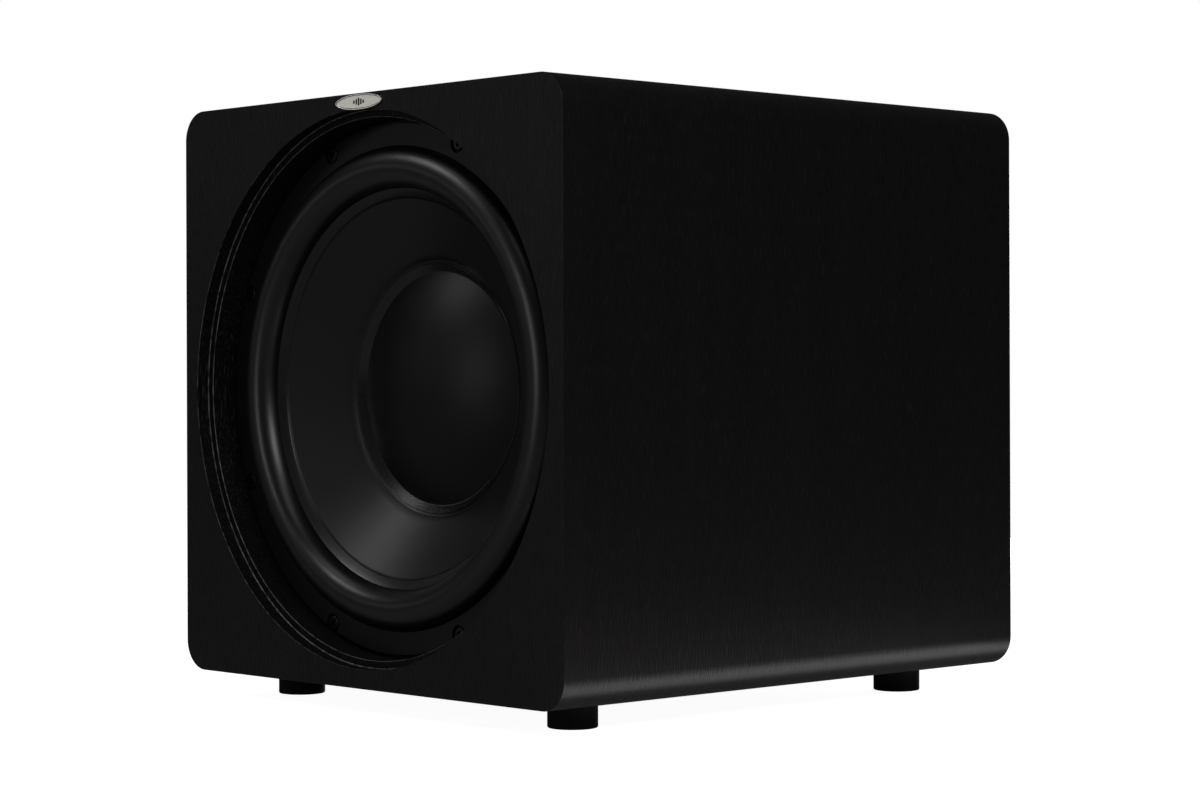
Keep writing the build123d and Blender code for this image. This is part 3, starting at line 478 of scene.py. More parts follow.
# Finishes of fine grains, as speckled takes them: dark and light colour, grain in metres, roughness from
# low to high, height of the grain in metres, and whatever else the shader needs.
GRAINED = {
    # Painted highlight: a thin broken pale line along the opening's rounded edges, standing in for the light
    # they catch.
    "worn_painted_arris": (
        "#0a0909", "#6a6562", (0.003, 0.003, 0.010), (0.45, 0.6), 0.00002,
        {"detail": 2.0, "Specular_IOR_Level": 0.3},
    ),
    # Moulded butyl rubber: satin, faintly warm, with long soft highlights.
    "moulded_butyl_rubber": (
        "#040304", "#060506", even(0.0022), (0.33, 0.36), 0.000001, {"Specular_IOR_Level": 0.5}
    ),
    # The dust cap's moulded fibre: finer and smoother than the cone's.
    "moulded_cap_fibre": (
        "#040404", "#070707", even(0.0007), (0.40, 0.46), 0.00002, {"Specular_IOR_Level": 0.25}
    ),
    # The cap's rim, pressed flat and slick by the mould.
    "pressed_cap_rim": (
        "#070707", "#0a0a0a", even(0.0007), (0.24, 0.30), 0.000004, {"Specular_IOR_Level": 0.6}
    ),
    # Black enamel on pressed steel: a near-black semi-gloss.
    "black_enamel_steel": (
        "#070708", "#0b0b0b", even(0.0012), (0.36, 0.44), 0.000008, {"Specular_IOR_Level": 0.25}
    ),
    # Black-oxide socket screws: dark, slightly oily metal with small glints.
    "black_oxide_steel": ("#26262a", "#3b3b40", even(0.0009), (0.26, 0.40), 0.000006, {"Metallic": 1.0}),
    # Moulded rubber feet: dead matte, with a faint bloom.
    "matte_foot_rubber": (
        "#131313", "#1b1b1b", even(0.0012), (0.72, 0.86), 0.00004, {"Specular_IOR_Level": 0.2}
    ),
    # Black enamel let into the badge.
    "black_badge_enamel": ("#0b0b0c", "#131314", even(0.001), (0.3, 0.4), 0.000004, {}),
    # Powder-coated aluminium: black with a fine orange-peel texture.
    "black_powder_coat": (
        "#131314", "#1d1d1e", even(0.0009), (0.42, 0.56), 0.00006, {"Specular_IOR_Level": 0.45}
    ),
    # Black anodised extrusion: fine die lines along the fins.
    "black_anodised_aluminium": (
        "#161618", "#232326", (0.0005, 0.0005, 0.03), (0.34, 0.48), 0.00002, {"Metallic": 0.6}
    ),
    # Bright zinc plate: cool grey with a faint mottle.
    "zinc_plated_steel": ("#8f9498", "#b9bdc0", even(0.004), (0.30, 0.45), 0.00001, {"Metallic": 1.0}),
    # Polished nickel: bright, warm grey.
    "polished_nickel": ("#b8b4ac", "#d6d2ca", even(0.002), (0.14, 0.22), 0.000004, {"Metallic": 1.0}),
    # Thin gold plate on brass.
    "gold_plate": ("#c79a4b", "#e3bb6c", even(0.002), (0.16, 0.26), 0.000004, {"Metallic": 1.0}),
    # Moulded ABS: satin black with a fine spark-eroded texture.
    "textured_black_abs": (
        "#0f0f10", "#181819", even(0.0005), (0.38, 0.5), 0.00002, {"Specular_IOR_Level": 0.45}
    ),
    # White screen print: the pointers and dial marks.
    "white_screen_print": ("#cfcfcb", "#e4e4e0", even(0.0006), (0.55, 0.7), 0.000005, {}),
    # Coloured nylon round a line socket.
    "red_nylon": ("#8c1c1a", "#a42724", even(0.0012), (0.32, 0.44), 0.00001, {}),
    "white_nylon": ("#c9c8c2", "#dddcd6", even(0.0012), (0.32, 0.44), 0.00001, {}),
    # Clear-tinted epoxy lens of a light that is off.
    "tinted_epoxy_lens": (
        "#2f6d3a", "#3d8148", even(0.001), (0.08, 0.14), 0.000002, {"Transmission_Weight": 0.4}
    ),
    # Bare medium-density fibreboard: even, warm brown, slightly furry.
    "bare_fibreboard": ("#8f6e4d", "#b08c64", even(0.0012), (0.75, 0.9), 0.00006, {}),
    # Fibreboard rolled with black paint: a soft pebbled sheen.
    "rolled_black_board": (
        "#121213", "#1c1b1c", even(0.0018), (0.5, 0.66), 0.00012, {"Specular_IOR_Level": 0.4}
    ),
    # Planed pine battens: straight yellow grain.
    "planed_pine": ("#a57f50", "#d3ab76", (0.002, 0.002, 0.06), (0.55, 0.7), 0.00008, {}),
    # Polyester wadding: white, loose and matte.
    "polyester_wadding": ("#bdbdb8", "#efefeb", even(0.006), (0.9, 1.0), 0.002, {"Sheen_Weight": 0.4}),
    # Painted die-cast frame: black with the slight pebble of casting.
    "painted_die_casting": (
        "#0b0b0c", "#141415", even(0.002), (0.42, 0.56), 0.00005, {"Specular_IOR_Level": 0.35}
    ),
    # Closed-cell foam strip.
    "closed_cell_foam": ("#1b1b1c", "#2c2c2d", even(0.0009), (0.85, 0.95), 0.0001, {}),
    # Enamelled copper wire, wound in fine turns.
    "enamelled_copper": (
        "#8a4a24", "#b8713c", (0.02, 0.0006, 0.02), (0.22, 0.34), 0.00005, {"Metallic": 1.0}
    ),
    # Amber polyimide film of the former.
    "amber_polyimide": ("#7a4a17", "#96601f", even(0.004), (0.25, 0.35), 0.00001, {}),
    # Ground ferrite: dark grey ceramic with tiny pits.
    "ground_ferrite": ("#1f2022", "#2e2f32", even(0.0014), (0.5, 0.7), 0.00006, {}),
    # Braided tinsel lead.
    "braided_tinsel": (
        "#7d6a4a", "#c9b78c", (0.0006, 0.0012, 0.0012), (0.3, 0.45), 0.0001, {"Metallic": 0.8}
    ),
    # Brown phenolic board.
    "phenolic_board": ("#5a3a1e", "#74502d", even(0.0015), (0.45, 0.6), 0.00003, {}),
    # Soft black PVC.
    "black_pvc": ("#111112", "#1b1b1c", even(0.002), (0.42, 0.55), 0.00002, {}),
    # Green solder resist on glass board.
    "green_solder_resist": ("#123c22", "#1d5a33", even(0.0025), (0.28, 0.4), 0.00003, {}),
    # Shrunk plastic sleeve of a capacitor.
    "shrunk_sleeve": ("#14213d", "#1c2c50", even(0.003), (0.3, 0.42), 0.00001, {}),
    # Polyester tape over the transformer.
    "yellow_polyester_tape": ("#9a7d23", "#b8983a", (0.004, 0.02, 0.004), (0.35, 0.5), 0.00006, {}),
}


def grained(name):
    """A finish of the table."""
    *values, others = GRAINED[name]
    return speckled(name, *values, **others)


def ash_veneer():
    """Ash veneer stained black under satin lacquer: fine upright pores that catch the light."""
    material, tree, shader = new_finish("stained_ash_veneer", Specular_IOR_Level=0.18)
    # Pores are 0.2 mm wide and up to 15 mm long; they are drawn 0.9 mm wide so that they show.
    pores = noise(tree, (0.0009, 0.014, 1.0), 3.0, "UV").outputs[0]
    flecks = noise(tree, (0.0009, 0.012, 1.0), 1.0, "UV").outputs[0]
    figure = noise(tree, (0.022, 0.30, 1.0), 2.0, "UV").outputs[0]
    tone = blended(tree, between(tree, pores, 0.35, 0.65), colour("#0c0a0b"), colour("#151314"))
    band = between(tree, figure, 0.3, 0.7, 0.0, 0.35)
    tone = blended(tree, band, tone, colour("#171315"))
    fleck = between(tree, flecks, 0.60, 0.74, 0.0, 0.4)
    tone = blended(tree, fleck, tone, colour("#2a2728"))
    tree.links.new(tone, shader.inputs["Base Color"])
    tree.links.new(between(tree, pores, 0.3, 0.7, 0.42, 0.32), shader.inputs["Roughness"])
    height = add(tree, "ShaderNodeMath", {0: pores, 1: flecks}, operation="ADD").outputs[0]
    tree.links.new(relief(tree, height, 0.00022), shader.inputs["Normal"])
    return material


def painted_opening():
    """Black paint brushed over sawn board: end grain shows as pale upright flecks."""
    material, tree, shader = new_finish("brushed_black_paint", Specular_IOR_Level=0.12)
    grain = noise(tree, (0.0011, 0.0011, 0.009), 3.0).outputs[0]
    flecks = noise(tree, (0.0007, 0.0007, 0.012), 2.0).outputs[0]
    tone = blended(tree, between(tree, grain, 0.35, 0.65), colour("#030303"), colour("#070707"))
    tone = blended(tree, between(tree, flecks, 0.57, 0.70, 0.0, 0.6), tone, colour("#3d3a3b"))
    rough = between(tree, grain, 0.3, 0.7, 0.60, 0.45)
    finished(tree, shader, tone, rough, relief(tree, flecks, 0.0002))
    return material


def oversprayed_board():
    """Fibreboard half covered by drifting black paint: bare amber shows in a few places."""
    material, tree, shader = new_finish("oversprayed_fibreboard", Specular_IOR_Level=0.2)
    drift = noise(tree, even(0.035), 1.0).outputs[0]
    grain = noise(tree, even(0.0012), 3.0).outputs[0]
    bare = blended(tree, grain, colour("#5e3c22"), colour("#a5744a"))
    tone = blended(tree, between(tree, drift, 0.58, 0.66), colour("#080707"), bare)
    rough = between(tree, grain, 0.3, 0.7, 0.7, 0.85)
    finished(tree, shader, tone, rough, relief(tree, grain, 0.00005))
    return material


def cone_fibre():
    """Pressed black fibre: a fine pebbled face that spreads the light wide."""
    material, tree, shader = new_finish("pressed_fibre", Specular_IOR_Level=0.44)
    # Fibre clumps are about 0.3 mm; they are drawn 0.8 mm across so that they show.
    grain = noise(tree, even(0.0008), 3.0).outputs[0]
    cloud = noise(tree, even(0.03), 2.0).outputs[0]
    tone = blended(tree, between(tree, grain, 0.35, 0.65), colour("#030303"), colour("#060606"))
    tone = blended(tree, between(tree, cloud, 0.3, 0.7, 0.0, 0.25), tone, colour("#070607"))
    rough = between(tree, grain, 0.3, 0.7, 0.36, 0.44)
    finished(tree, shader, tone, rough, relief(tree, grain, 0.00007))
    return material


def badge_field():
    """Satin die-cast zinc under nickel: pale, brushed along its length."""
    material, tree, shader = new_finish("satin_nickel", Metallic=0.6)
    brush = noise(tree, (0.004, 0.0004, 0.0003), 3.0).outputs[0]
    tone = blended(tree, between(tree, brush, 0.3, 0.7), colour("#eceae0"), colour("#f8f6ee"))
    rough = between(tree, brush, 0.3, 0.7, 0.20, 0.28)
    finished(tree, shader, tone, rough, relief(tree, brush, 0.00001))
    return material


def spider_cloth():
    """Resin-dipped cotton: ochre cloth with a visible weave."""
    material, tree, shader = new_finish("resin_dipped_cotton", Sheen_Weight=0.2)
    place = spread(tree, even(0.0011))
    weave = add(tree, "ShaderNodeTexChecker", {"Vector": place, "Scale": 1.0}).outputs[1]
    grain = noise(tree, even(0.0006), 2.0).outputs[0]
    tone = blended(tree, weave, colour("#a97f35"), colour("#c79d4f"))
    rough = between(tree, grain, 0.3, 0.7, 0.6, 0.8)
    finished(tree, shader, tone, rough, relief(tree, weave, 0.00012))
    return material


# ---- Box -----------------------------------------------------------------------------------------


def round_the_box(x, z, half_w, half_h, radius):
    """Distance round the box's section from the middle of its top, negative to the left."""
    side = 1 if x >= 0 else -1
    x = abs(x)
    run_x, run_z = half_w - radius, half_h - radius
    quarter = radius * math.pi / 2
    if z >= run_z:
        far = x if x <= run_x else run_x + radius * math.atan2(x - run_x, max(z - run_z, 1e-9))
    elif z > -run_z:
        far = run_x + quarter + run_z - z
    else:
        below = -run_z - z
        turn = math.atan2(below, max(x - run_x, 1e-9)) if x > run_x else math.pi / 2
        far = run_x + quarter + 2 * run_z + radius * turn + max(run_x - x, 0)
    return side * far


def lay_veneer(obj, sizes, low, high):
    """A UV map in metres: U across the grain, V along it.  The front's grain is upright, and the
    wrap's runs round the box."""
    middle = (low + high) / 2
    half = (high - low) / 2
    while obj.data.uv_layers:
        obj.data.uv_layers.remove(obj.data.uv_layers[0])
    sheet = obj.data.uv_layers.new(name="grain")
    for face in obj.data.polygons:
        flat = abs(face.normal.y) > 0.8
        lean = 1 if face.center.x >= 0 else -1
        for corner in face.loop_indices:
            place = obj.data.vertices[obj.data.loops[corner].vertex_index].co
            x, z = place.x, place.z - middle.z
            if flat:
                sheet.data[corner].uv = (x, z)
            else:
                if abs(x) < 1e-6:
                    x = 1e-6 * lean
                far = round_the_box(x, z, half.x, half.z, sizes.edge_round)
                sheet.data[corner].uv = (place.y + 1.0, far)


class CABINET_OT_veneer(bpy.types.Operator):
    """Wraps the box in black ash veneer with the round opening in its front"""

    bl_idname = "cabinet.veneer"
    bl_label = "Veneer"

    def execute(self, context):
        sizes = context.scene.cabinet_box
        low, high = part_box("veneer_wrap")
        low = Vector((low.x, front_y(), low.z))
        skin = block("veneer_skin", low, high)
        bevel_edges(skin, runs_back(0.1), sizes.edge_round, 14)
        take(skin)
        bpy.ops.object.mode_set(mode="EDIT")
        pick(skin, lambda f: f.normal.y > 0.9)
        bpy.ops.mesh.delete(type="FACE")
        put_down()
        modify(skin, "SOLIDIFY", thickness=sizes.veneer, offset=-1, use_even_offset=True)
        r, past = sizes.grille_r, 0.01
        hole = [(0, -past), (r, -past), (r, past), (0, past)]
        cut(skin, turned("hole", hole, driver_axis(), segments=256))
        axis = driver_axis()
        far = r + 0.004

        def front_edge(edge):
            outer = all(abs(v.co.y - low.y) < 1e-6 and (v.co - axis).length > far for v in edge.verts)
            return outer and edge.calc_face_angle(0) > 1.0

        bevel_edges(skin, front_edge, sizes.front_ease, 3)
        lay_veneer(skin, sizes, low, high)
        dress(skin, ash_veneer(), "veneer", CABINET, "veneer_wrap", "veneer_front", flat_faces=True)
        # The veneer's thin wall round the opening gets a pale finish: a painted highlight for the light
        # caught at its edge.
        inside = reach_test(r + 0.0002)
        second_finish(skin, grained("worn_painted_arris"), lambda f: abs(f.normal.y) < 0.5 and inside(f))
        return {"FINISHED"}


class CABINET_OT_opening(bpy.types.Operator):
    """Cuts the stepped opening into the board behind the front veneer"""

    bl_idname = "cabinet.opening"
    bl_label = "Opening"

    def execute(self, context):
        sizes = context.scene.cabinet_box
        low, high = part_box("front_baffle")
        board = block("opening_board", low, high)
        bevel_edges(board, runs_back(0.01), sizes.edge_round - sizes.veneer, 8)
        depth = high.y - front_y()
        r, step, rim = sizes.grille_r, sizes.grille_depth, sizes.bore_ease
        bore = [(0, -0.01), (r, -0.01), (r, step - 0.0006), (r - 0.0006, step), (sizes.bore_r + rim, step)]
        bore += arc(sizes.bore_r + rim, step + rim, rim, -90, -180, 4)[1:]
        bore += [(sizes.bore_r, depth + 0.01), (0, depth + 0.01)]
        cut(board, turned("bore", bore, driver_axis(), segments=256))
        dress(board, painted_opening(), "board_black", CABINET, "front_baffle", angle=32, flat_faces=True)
        # The sloped faces of the rounded edges inside the opening get a pale finish: painted highlights for
        # the light caught at those edges.
        inside = reach_test(r)
        arris_highlight_finish = grained("worn_painted_arris")
        second_finish(board, arris_highlight_finish, lambda f: 0.1 < abs(f.normal.y) < 0.95 and inside(f))
        return {"FINISHED"}


class CABINET_OT_feet(bpy.types.Operator):
    """Moulds the four round feet, hollow where their screws sit"""

    bl_idname = "cabinet.feet"
    bl_label = "Feet"

    def execute(self, context):
        sizes = context.scene.cabinet_box
        low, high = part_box("feet")
        top = high.z
        soft, lip = sizes.foot_ease, 0.0005
        radius, hollow_r, hollow_top, screw_r = 0.0175, 0.008, 0.009, 0.0024
        profile = [(screw_r, top), (radius, top)]
        profile += arc(radius - soft, soft, soft, 0, -90, 5)
        profile += arc(hollow_r + lip, lip, lip, -90, -180, 3)
        profile += [(hollow_r, hollow_top), (screw_r, hollow_top)]
        foot = turned("foot", profile, (0, 0, 0), along="Z", segments=72)
        x, y, front = high.x - radius, high.y - radius, low.y + radius
        places = [(x, y, 0), (-x, y, 0), (x, front, 0), (-x, front, 0)]
        rubber = grained("matte_foot_rubber")
        for piece in copies(foot, "foot", places):
            dress(piece, rubber, "foot_rubber", CABINET, "feet")
        return {"FINISHED"}


class CABINET_OT_badge(bpy.types.Operator):
    """Casts the oval badge with its raised rim and its plain level-meter mark"""

    bl_idname = "cabinet.badge"
    bl_label = "Badge"

    def execute(self, context):
        sizes = context.scene.cabinet_box
        low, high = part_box("badge")
        middle = (low + high) / 2
        half = (high - low) / 2
        put_down()
        bpy.ops.mesh.primitive_circle_add(
            vertices=128, radius=1.0, fill_type="NGON", location=(0, high.y, middle.z),
            rotation=(math.pi / 2, 0, 0),
        )
        badge = bpy.context.object
        badge.name = "oval_badge"
        badge.scale = (half.x, half.z, 1)
        settle(badge)
        thick = high.y - low.y
        bpy.ops.object.mode_set(mode="EDIT")
        bpy.ops.mesh.select_mode(type="FACE")
        bpy.ops.mesh.select_all(action="SELECT")
        bpy.ops.mesh.extrude_region_move(TRANSFORM_OT_translate={"value": (0, -thick, 0)})
        rounded = 0.00035
        bpy.ops.mesh.inset(thickness=sizes.badge_rim - rounded)
        bpy.ops.mesh.inset(thickness=rounded, depth=-sizes.badge_sink)
        put_down()
        outwards(badge)
        ease(badge, 0.00022, 3, 35)
        field = badge_field()
        rim = grained("polished_nickel")
        dress(badge, rim, "badge_metal", CABINET, "badge", angle=50, flat_faces=True)
        field_x, field_z = half.x - sizes.badge_rim, half.z - sizes.badge_rim

        def is_field(face):
            inner = (face.center.x / field_x) ** 2
            inner += ((face.center.z - middle.z) / field_z) ** 2
            return face.normal.y < -0.9 and inner < 1

        second_finish(badge, field, is_field)
        self.mark(sizes)
        return {"FINISHED"}

    def mark(self, sizes):
        """Five plain upright bars, tallest in the middle."""
        low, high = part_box("badge_inlay")
        heights = (0.0022, 0.0038, 0.0054, 0.0038, 0.0022)
        width = (high.x - low.x) / 9
        middle = (low.z + high.z) / 2
        enamel = grained("black_badge_enamel")
        for k, height in enumerate(heights):
            x = low.x + 2 * k * width
            foot, head = middle - height / 2, middle + height / 2
            bar = block(f"badge_bar_{k + 1}", (x, low.y, foot), (x + width, high.y, head))
            ease(bar, 0.00012, 2)
            dress(bar, enamel, "badge_enamel", CABINET, "badge_inlay")


# ---- Driver --------------------------------------------------------------------------------------


def cone_depth(sizes, r):
    """Depth of the cone's face at a radius."""
    return sizes.cone_edge + (sizes.cone_r - r) * sizes.cone_slope


def notch(obj, sizes, start, end=0.034):
    """Notches a piece round each driver screw, from one depth to another."""
    r = sizes.notch_r
    for x, z in bolt_places(sizes):
        place = Vector((x, front_y(), z))
        cut(obj, turned("notch", [(0, start), (r, start), (r, end), (0, end)], place, segments=48))


class CABINET_OT_trim_ring(bpy.types.Operator):
    """Turns the enamelled ring over the frame's flange and notches it round each screw"""

    bl_idname = "cabinet.trim_ring"
    bl_label = "Trim ring"

    def execute(self, context):
        sizes = context.scene.cabinet_driver
        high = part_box("trim_ring")[1]
        back = high.y - front_y()
        outer = high.x
        step_r, step = 0.1842, back - 0.0008
        profile = eased(
            [(sizes.ring_in, sizes.ring_front), (outer, sizes.ring_front), (outer, back), (step_r, back),
             (step_r, step), (sizes.ring_in, step)],
            0.0003,
        )
        ring = turned("enamelled_ring", profile, driver_axis(), segments=256)
        notch(ring, sizes, 0.028)
        ease(ring, 0.0003, 2, 60)
        close_gaps(ring)
        dress(ring, grained("black_enamel_steel"), "trim_rubber", CABINET, "trim_ring", flat_faces=True)
        return {"FINISHED"}


class CABINET_OT_driver_screws(bpy.types.Operator):
    """Makes one socket-head screw and sets eight of them round the driver"""

    bl_idname = "cabinet.driver_screws"
    bl_label = "Driver screws"

    def execute(self, context):
        sizes = context.scene.cabinet_driver
        low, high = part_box("driver_screws")
        front = low.y - front_y()
        seat, end = front + 0.004, high.y - front_y()
        r, soft = sizes.head_r, 0.0005
        profile = [(0, front)]
        profile += arc(r - soft, front + soft, soft, -90, 0, 4)
        profile += [(r, seat), (0.003, seat), (0.003, end - 0.0008), (0.0022, end), (0, end)]
        screw = turned("socket_screw", profile, (0, front_y(), 0), segments=48)
        key = [(0, front - 0.001), (0.0028, front - 0.001), (0.0028, front + 0.0022), (0.0, front + 0.0028)]
        cut(screw, turned("key", key, (0, front_y(), 0), segments=6))
        finish = grained("black_oxide_steel")
        places = [(x, 0, z) for x, z in bolt_places(sizes)]
        for piece in copies(screw, "socket_screw", places):
            dress(piece, finish, "screw_black", CABINET, "driver_screws")
        return {"FINISHED"}


class CABINET_OT_surround(bpy.types.Operator):
    """Moulds the rubber half-roll that joins the frame to the cone"""

    bl_idname = "cabinet.surround"
    bl_label = "Surround"

    def execute(self, context):
        sizes = context.scene.cabinet_driver
        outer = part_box("surround")[1].x
        ring_r, roll_r = sizes.ring_in, sizes.roll_in
        flange = 0.0322
        back = 0.033
        lip_root = cone_depth(sizes, roll_r) - sizes.lip
        front_roll = self.roll((ring_r, flange), sizes.roll_peak, (roll_r, lip_root), 24)
        back_roll = self.roll(
            (ring_r - sizes.rubber, back), sizes.roll_peak + sizes.rubber, (sizes.cone_r, sizes.cone_edge), 20
        )
        profile = [(outer, flange)] + front_roll
        lip = cone_depth(sizes, sizes.lip_in)
        lip_in = sizes.lip_in
        profile += [(lip_in + 0.0004, lip - sizes.lip - 0.00025), (lip_in, lip - 0.0003), (lip_in, lip)]
        profile += back_roll[::-1] + [(outer, back)]
        roll = turned("rubber_surround", profile, driver_axis(), segments=256)
        notch(roll, sizes, 0.0312)
        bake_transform(roll, CABINET, DIAPHRAGM, start=(ring_r, 0, 0), end=(roll_r, 0, 0))
        weight_by_radius(roll, ring_r - 0.0005, roll_r + 0.001)
        dress(roll, grained("moulded_butyl_rubber"), "roll_rubber", None, "surround", angle=40)
        return {"FINISHED"}

    def roll(self, start, peak, end, steps):
        """Points of a smooth half-roll that starts and ends at a root and reaches the peak depth."""
        middle = (start[0] + end[0]) / 2
        half = (start[0] - end[0]) / 2
        points = []
        for k in range(steps + 1):
            a = math.pi * k / steps
            t = (1 - math.cos(a)) / 2
            root = start[1] + (end[1] - start[1]) * t
            points.append((middle + half * math.cos(a), root + (peak - root) * math.sin(a)))
        return points


def weight_by_radius(obj, still_r, moving_r):
    """Lets a round flexing piece follow the frame at its rim and the cone at its middle."""
    axis = driver_axis()
    weights = obj.data.attributes["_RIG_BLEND"].data
    for k, point in enumerate(obj.data.vertices):
        r = math.hypot(point.co.x - axis.x, point.co.z - axis.z)
        t = min(max((still_r - r) / (still_r - moving_r), 0.0), 1.0)
        weights[k].value = t * t * (3 - 2 * t)


# Radius, width and depth of the rings pressed in the cone: one by the lip and one by the cap.
GROOVES = ((0.1365, 0.0006, 0.0004), (0.0928, 0.0005, 0.0002))


class CABINET_OT_cone(bpy.types.Operator):
    """Presses the fibre cone"""

    bl_idname = "cabinet.cone"
    bl_label = "Cone"

    def execute(self, context):
        sizes = context.scene.cabinet_driver
        radii = [sizes.cone_r + (sizes.former_r - sizes.cone_r) * k / 12 for k in range(13)]
        face = [(r, cone_depth(sizes, r)) for r in radii]
        rear = [(r, depth + sizes.cone_wall) for r, depth in reversed(face)]
        for r, wide, deep in GROOVES:
            groove = [(r + wide / 2, 0), (r + wide * 0.2, deep), (r - wide * 0.2, deep), (r - wide / 2, 0)]
            face += [(at, cone_depth(sizes, at) + sunk) for at, sunk in groove]
        face.sort(reverse=True)
        cone = turned("fibre_cone", face + rear, driver_axis(), segments=192)
        dress(cone, cone_fibre(), "cone_fibre", DIAPHRAGM, "cone", angle=40)
        return {"FINISHED"}


class CABINET_OT_dust_cap(bpy.types.Operator):
    """Moulds the domed dust cap with its flat rim"""

    bl_idname = "cabinet.dust_cap"
    bl_label = "Dust cap"

    def execute(self, context):
        sizes = context.scene.cabinet_driver
        dome_r, rim_r = sizes.cap_dome_r, sizes.cap_rim_r
        root = cone_depth(sizes, dome_r)
        face = root - sizes.cap_rim
        peak = face - sizes.cap_rise
        rim = cone_depth(sizes, rim_r)
        front = self.dome(dome_r, face, peak, 28)
        rear = self.dome(dome_r, root, peak + sizes.cap_wall, 28)
        edge = [(dome_r + 0.0006, face - 0.0001), (rim_r - 0.0004, rim - sizes.cap_rim)]
        edge += [(rim_r, rim - 0.0005), (rim_r, rim)]
        profile = front + edge + rear[::-1]
        cap = turned("domed_cap", profile, driver_axis(), segments=192)
        dress(cap, grained("moulded_cap_fibre"), "cap_fibre", DIAPHRAGM, "dust_cap", angle=24)
        domed = reach_test(dome_r, or_at=True)
        second_finish(cap, grained("pressed_cap_rim"), lambda f: not domed(f))
        return {"FINISHED"}

    def dome(self, radius, edge, top, steps):
        """Points of a spherical dome from its top, on the axis, to its edge."""
        sphere = (radius**2 + (edge - top) ** 2) / (2 * (edge - top))
        points = []
        for k in range(steps + 1):
            r = radius * k / steps
            points.append((r, top + sphere - math.sqrt(sphere**2 - r**2)))
        return points


class CABINET_OT_spider(bpy.types.Operator):
    """Presses the corrugated cloth disc that flexes behind the cone"""

    bl_idname = "cabinet.spider"
    bl_label = "Spider"

    def execute(self, context):
        low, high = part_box("spider")
        middle_depth = (low.y + high.y) / 2 - front_y()
        outer, inner, flat, land = high.x, 0.0326, 0.034, 0.097
        thick, wave, waves = 0.0008, 0.0025, 7
        steps = 56
        face = [(outer, middle_depth - thick / 2)]
        for k in range(steps + 1):
            r = land + (flat - land) * k / steps
            swing = wave * math.sin(math.pi * waves * (r - flat) / (land - flat))
            face.append((r, middle_depth - thick / 2 - swing))
        face.append((inner, middle_depth - thick / 2))
        rear = [(r, depth + thick) for r, depth in reversed(face)]
        cloth = turned("cloth_spider", face + rear, driver_axis(), segments=128)
        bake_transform(cloth, CABINET, DIAPHRAGM, start=(land, 0, 0), end=(flat, 0, 0))
        weight_by_radius(cloth, land, flat)
        dress(cloth, spider_cloth(), "spider_cloth", None, "spider", angle=50)
        return {"FINISHED"}


class CABINET_OT_tinsel_leads(bpy.types.Operator):
    """Runs the two braided leads from the frame to the back of the cone, where they flex with it"""

    bl_idname = "cabinet.tinsel_leads"
    bl_label = "Tinsel leads"

    def execute(self, context):
        sizes = context.scene.cabinet_driver
        end_r = 0.0685
        back = cone_depth(sizes, end_r) + sizes.cone_wall + 0.0012
        # Radius and depth of the lead's points, from the terminal strip to the cone's back.
        route = [(0.121, 0.1135), (0.1225, 0.104), (0.111, 0.099), (0.097, 0.0985), (0.082, 0.096)]
        route.append((end_r, back))
        braided = grained("braided_tinsel")
        axis = driver_axis()
        for k, x in enumerate((-0.008, 0.008)):
            line = bpy.data.curves.new("lead", "CURVE")
            line.dimensions = "3D"
            line.bevel_depth, line.bevel_resolution, line.use_fill_caps = 0.0012, 4, True
            spline = line.splines.new("NURBS")
            spline.points.add(len(route) - 1)
            for point, (r, depth) in zip(spline.points, route):
                point.co = (x, axis.y + depth, axis.z + r, 1)
            spline.order_u, spline.use_endpoint_u, spline.resolution_u = 3, True, 10
            lead = bpy.data.objects.new(f"tinsel_lead_{k + 1}", line)
            context.collection.objects.link(lead)
            take(lead)
            bpy.ops.object.convert(target="MESH")
            lead = context.object
            outwards(lead)
            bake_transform(lead, CABINET, DIAPHRAGM, start=(x, 0, axis.z + 0.119), end=(x, 0, axis.z + 0.072))
            weight_by_radius(lead, 0.119, 0.072)
            dress(lead, braided, "copper", None, "tinsel_leads", angle=50)
        return {"FINISHED"}


# ---- Amplifier plate -----------------------------------------------------------------------------


def plate_face():
    """Depth-wise place of the amplifier plate's outer face."""
    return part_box("amplifier_plate")[1].y


def middle_of(node):
    low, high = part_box(node)
    return (low + high) / 2


def corner_pairs(low, high, inset):
    """The plate's ten screw places: three along the top and bottom, two down each side."""
    middle = (low + high) / 2
    x, z = high.x - inset, (high.z - low.z) / 2 - inset
    places = []
    for side in (-1, 1):
        places += [(0, middle.z + side * z), (-x, middle.z + side * z), (x, middle.z + side * z)]
        places += [(-x, middle.z + side * z / 3), (x, middle.z + side * z / 3)]
    return places


# The line sockets' X and their height above the plate's middle, and the plate screws' distance from its edge.
JACK_X = (-0.105, -0.075, -0.045, -0.015)
JACK_UP = 0.060
SCREW_INSET = 0.0075
KNOBS = ("volume", "crossover", "phase")


def peg(name, x, z, r, low_y, high_y, segments=48):
    """A round cutter along Y."""
    return turned(name, [(0, low_y), (r, low_y), (r, high_y), (0, high_y)], (x, 0, z), segments=segments)


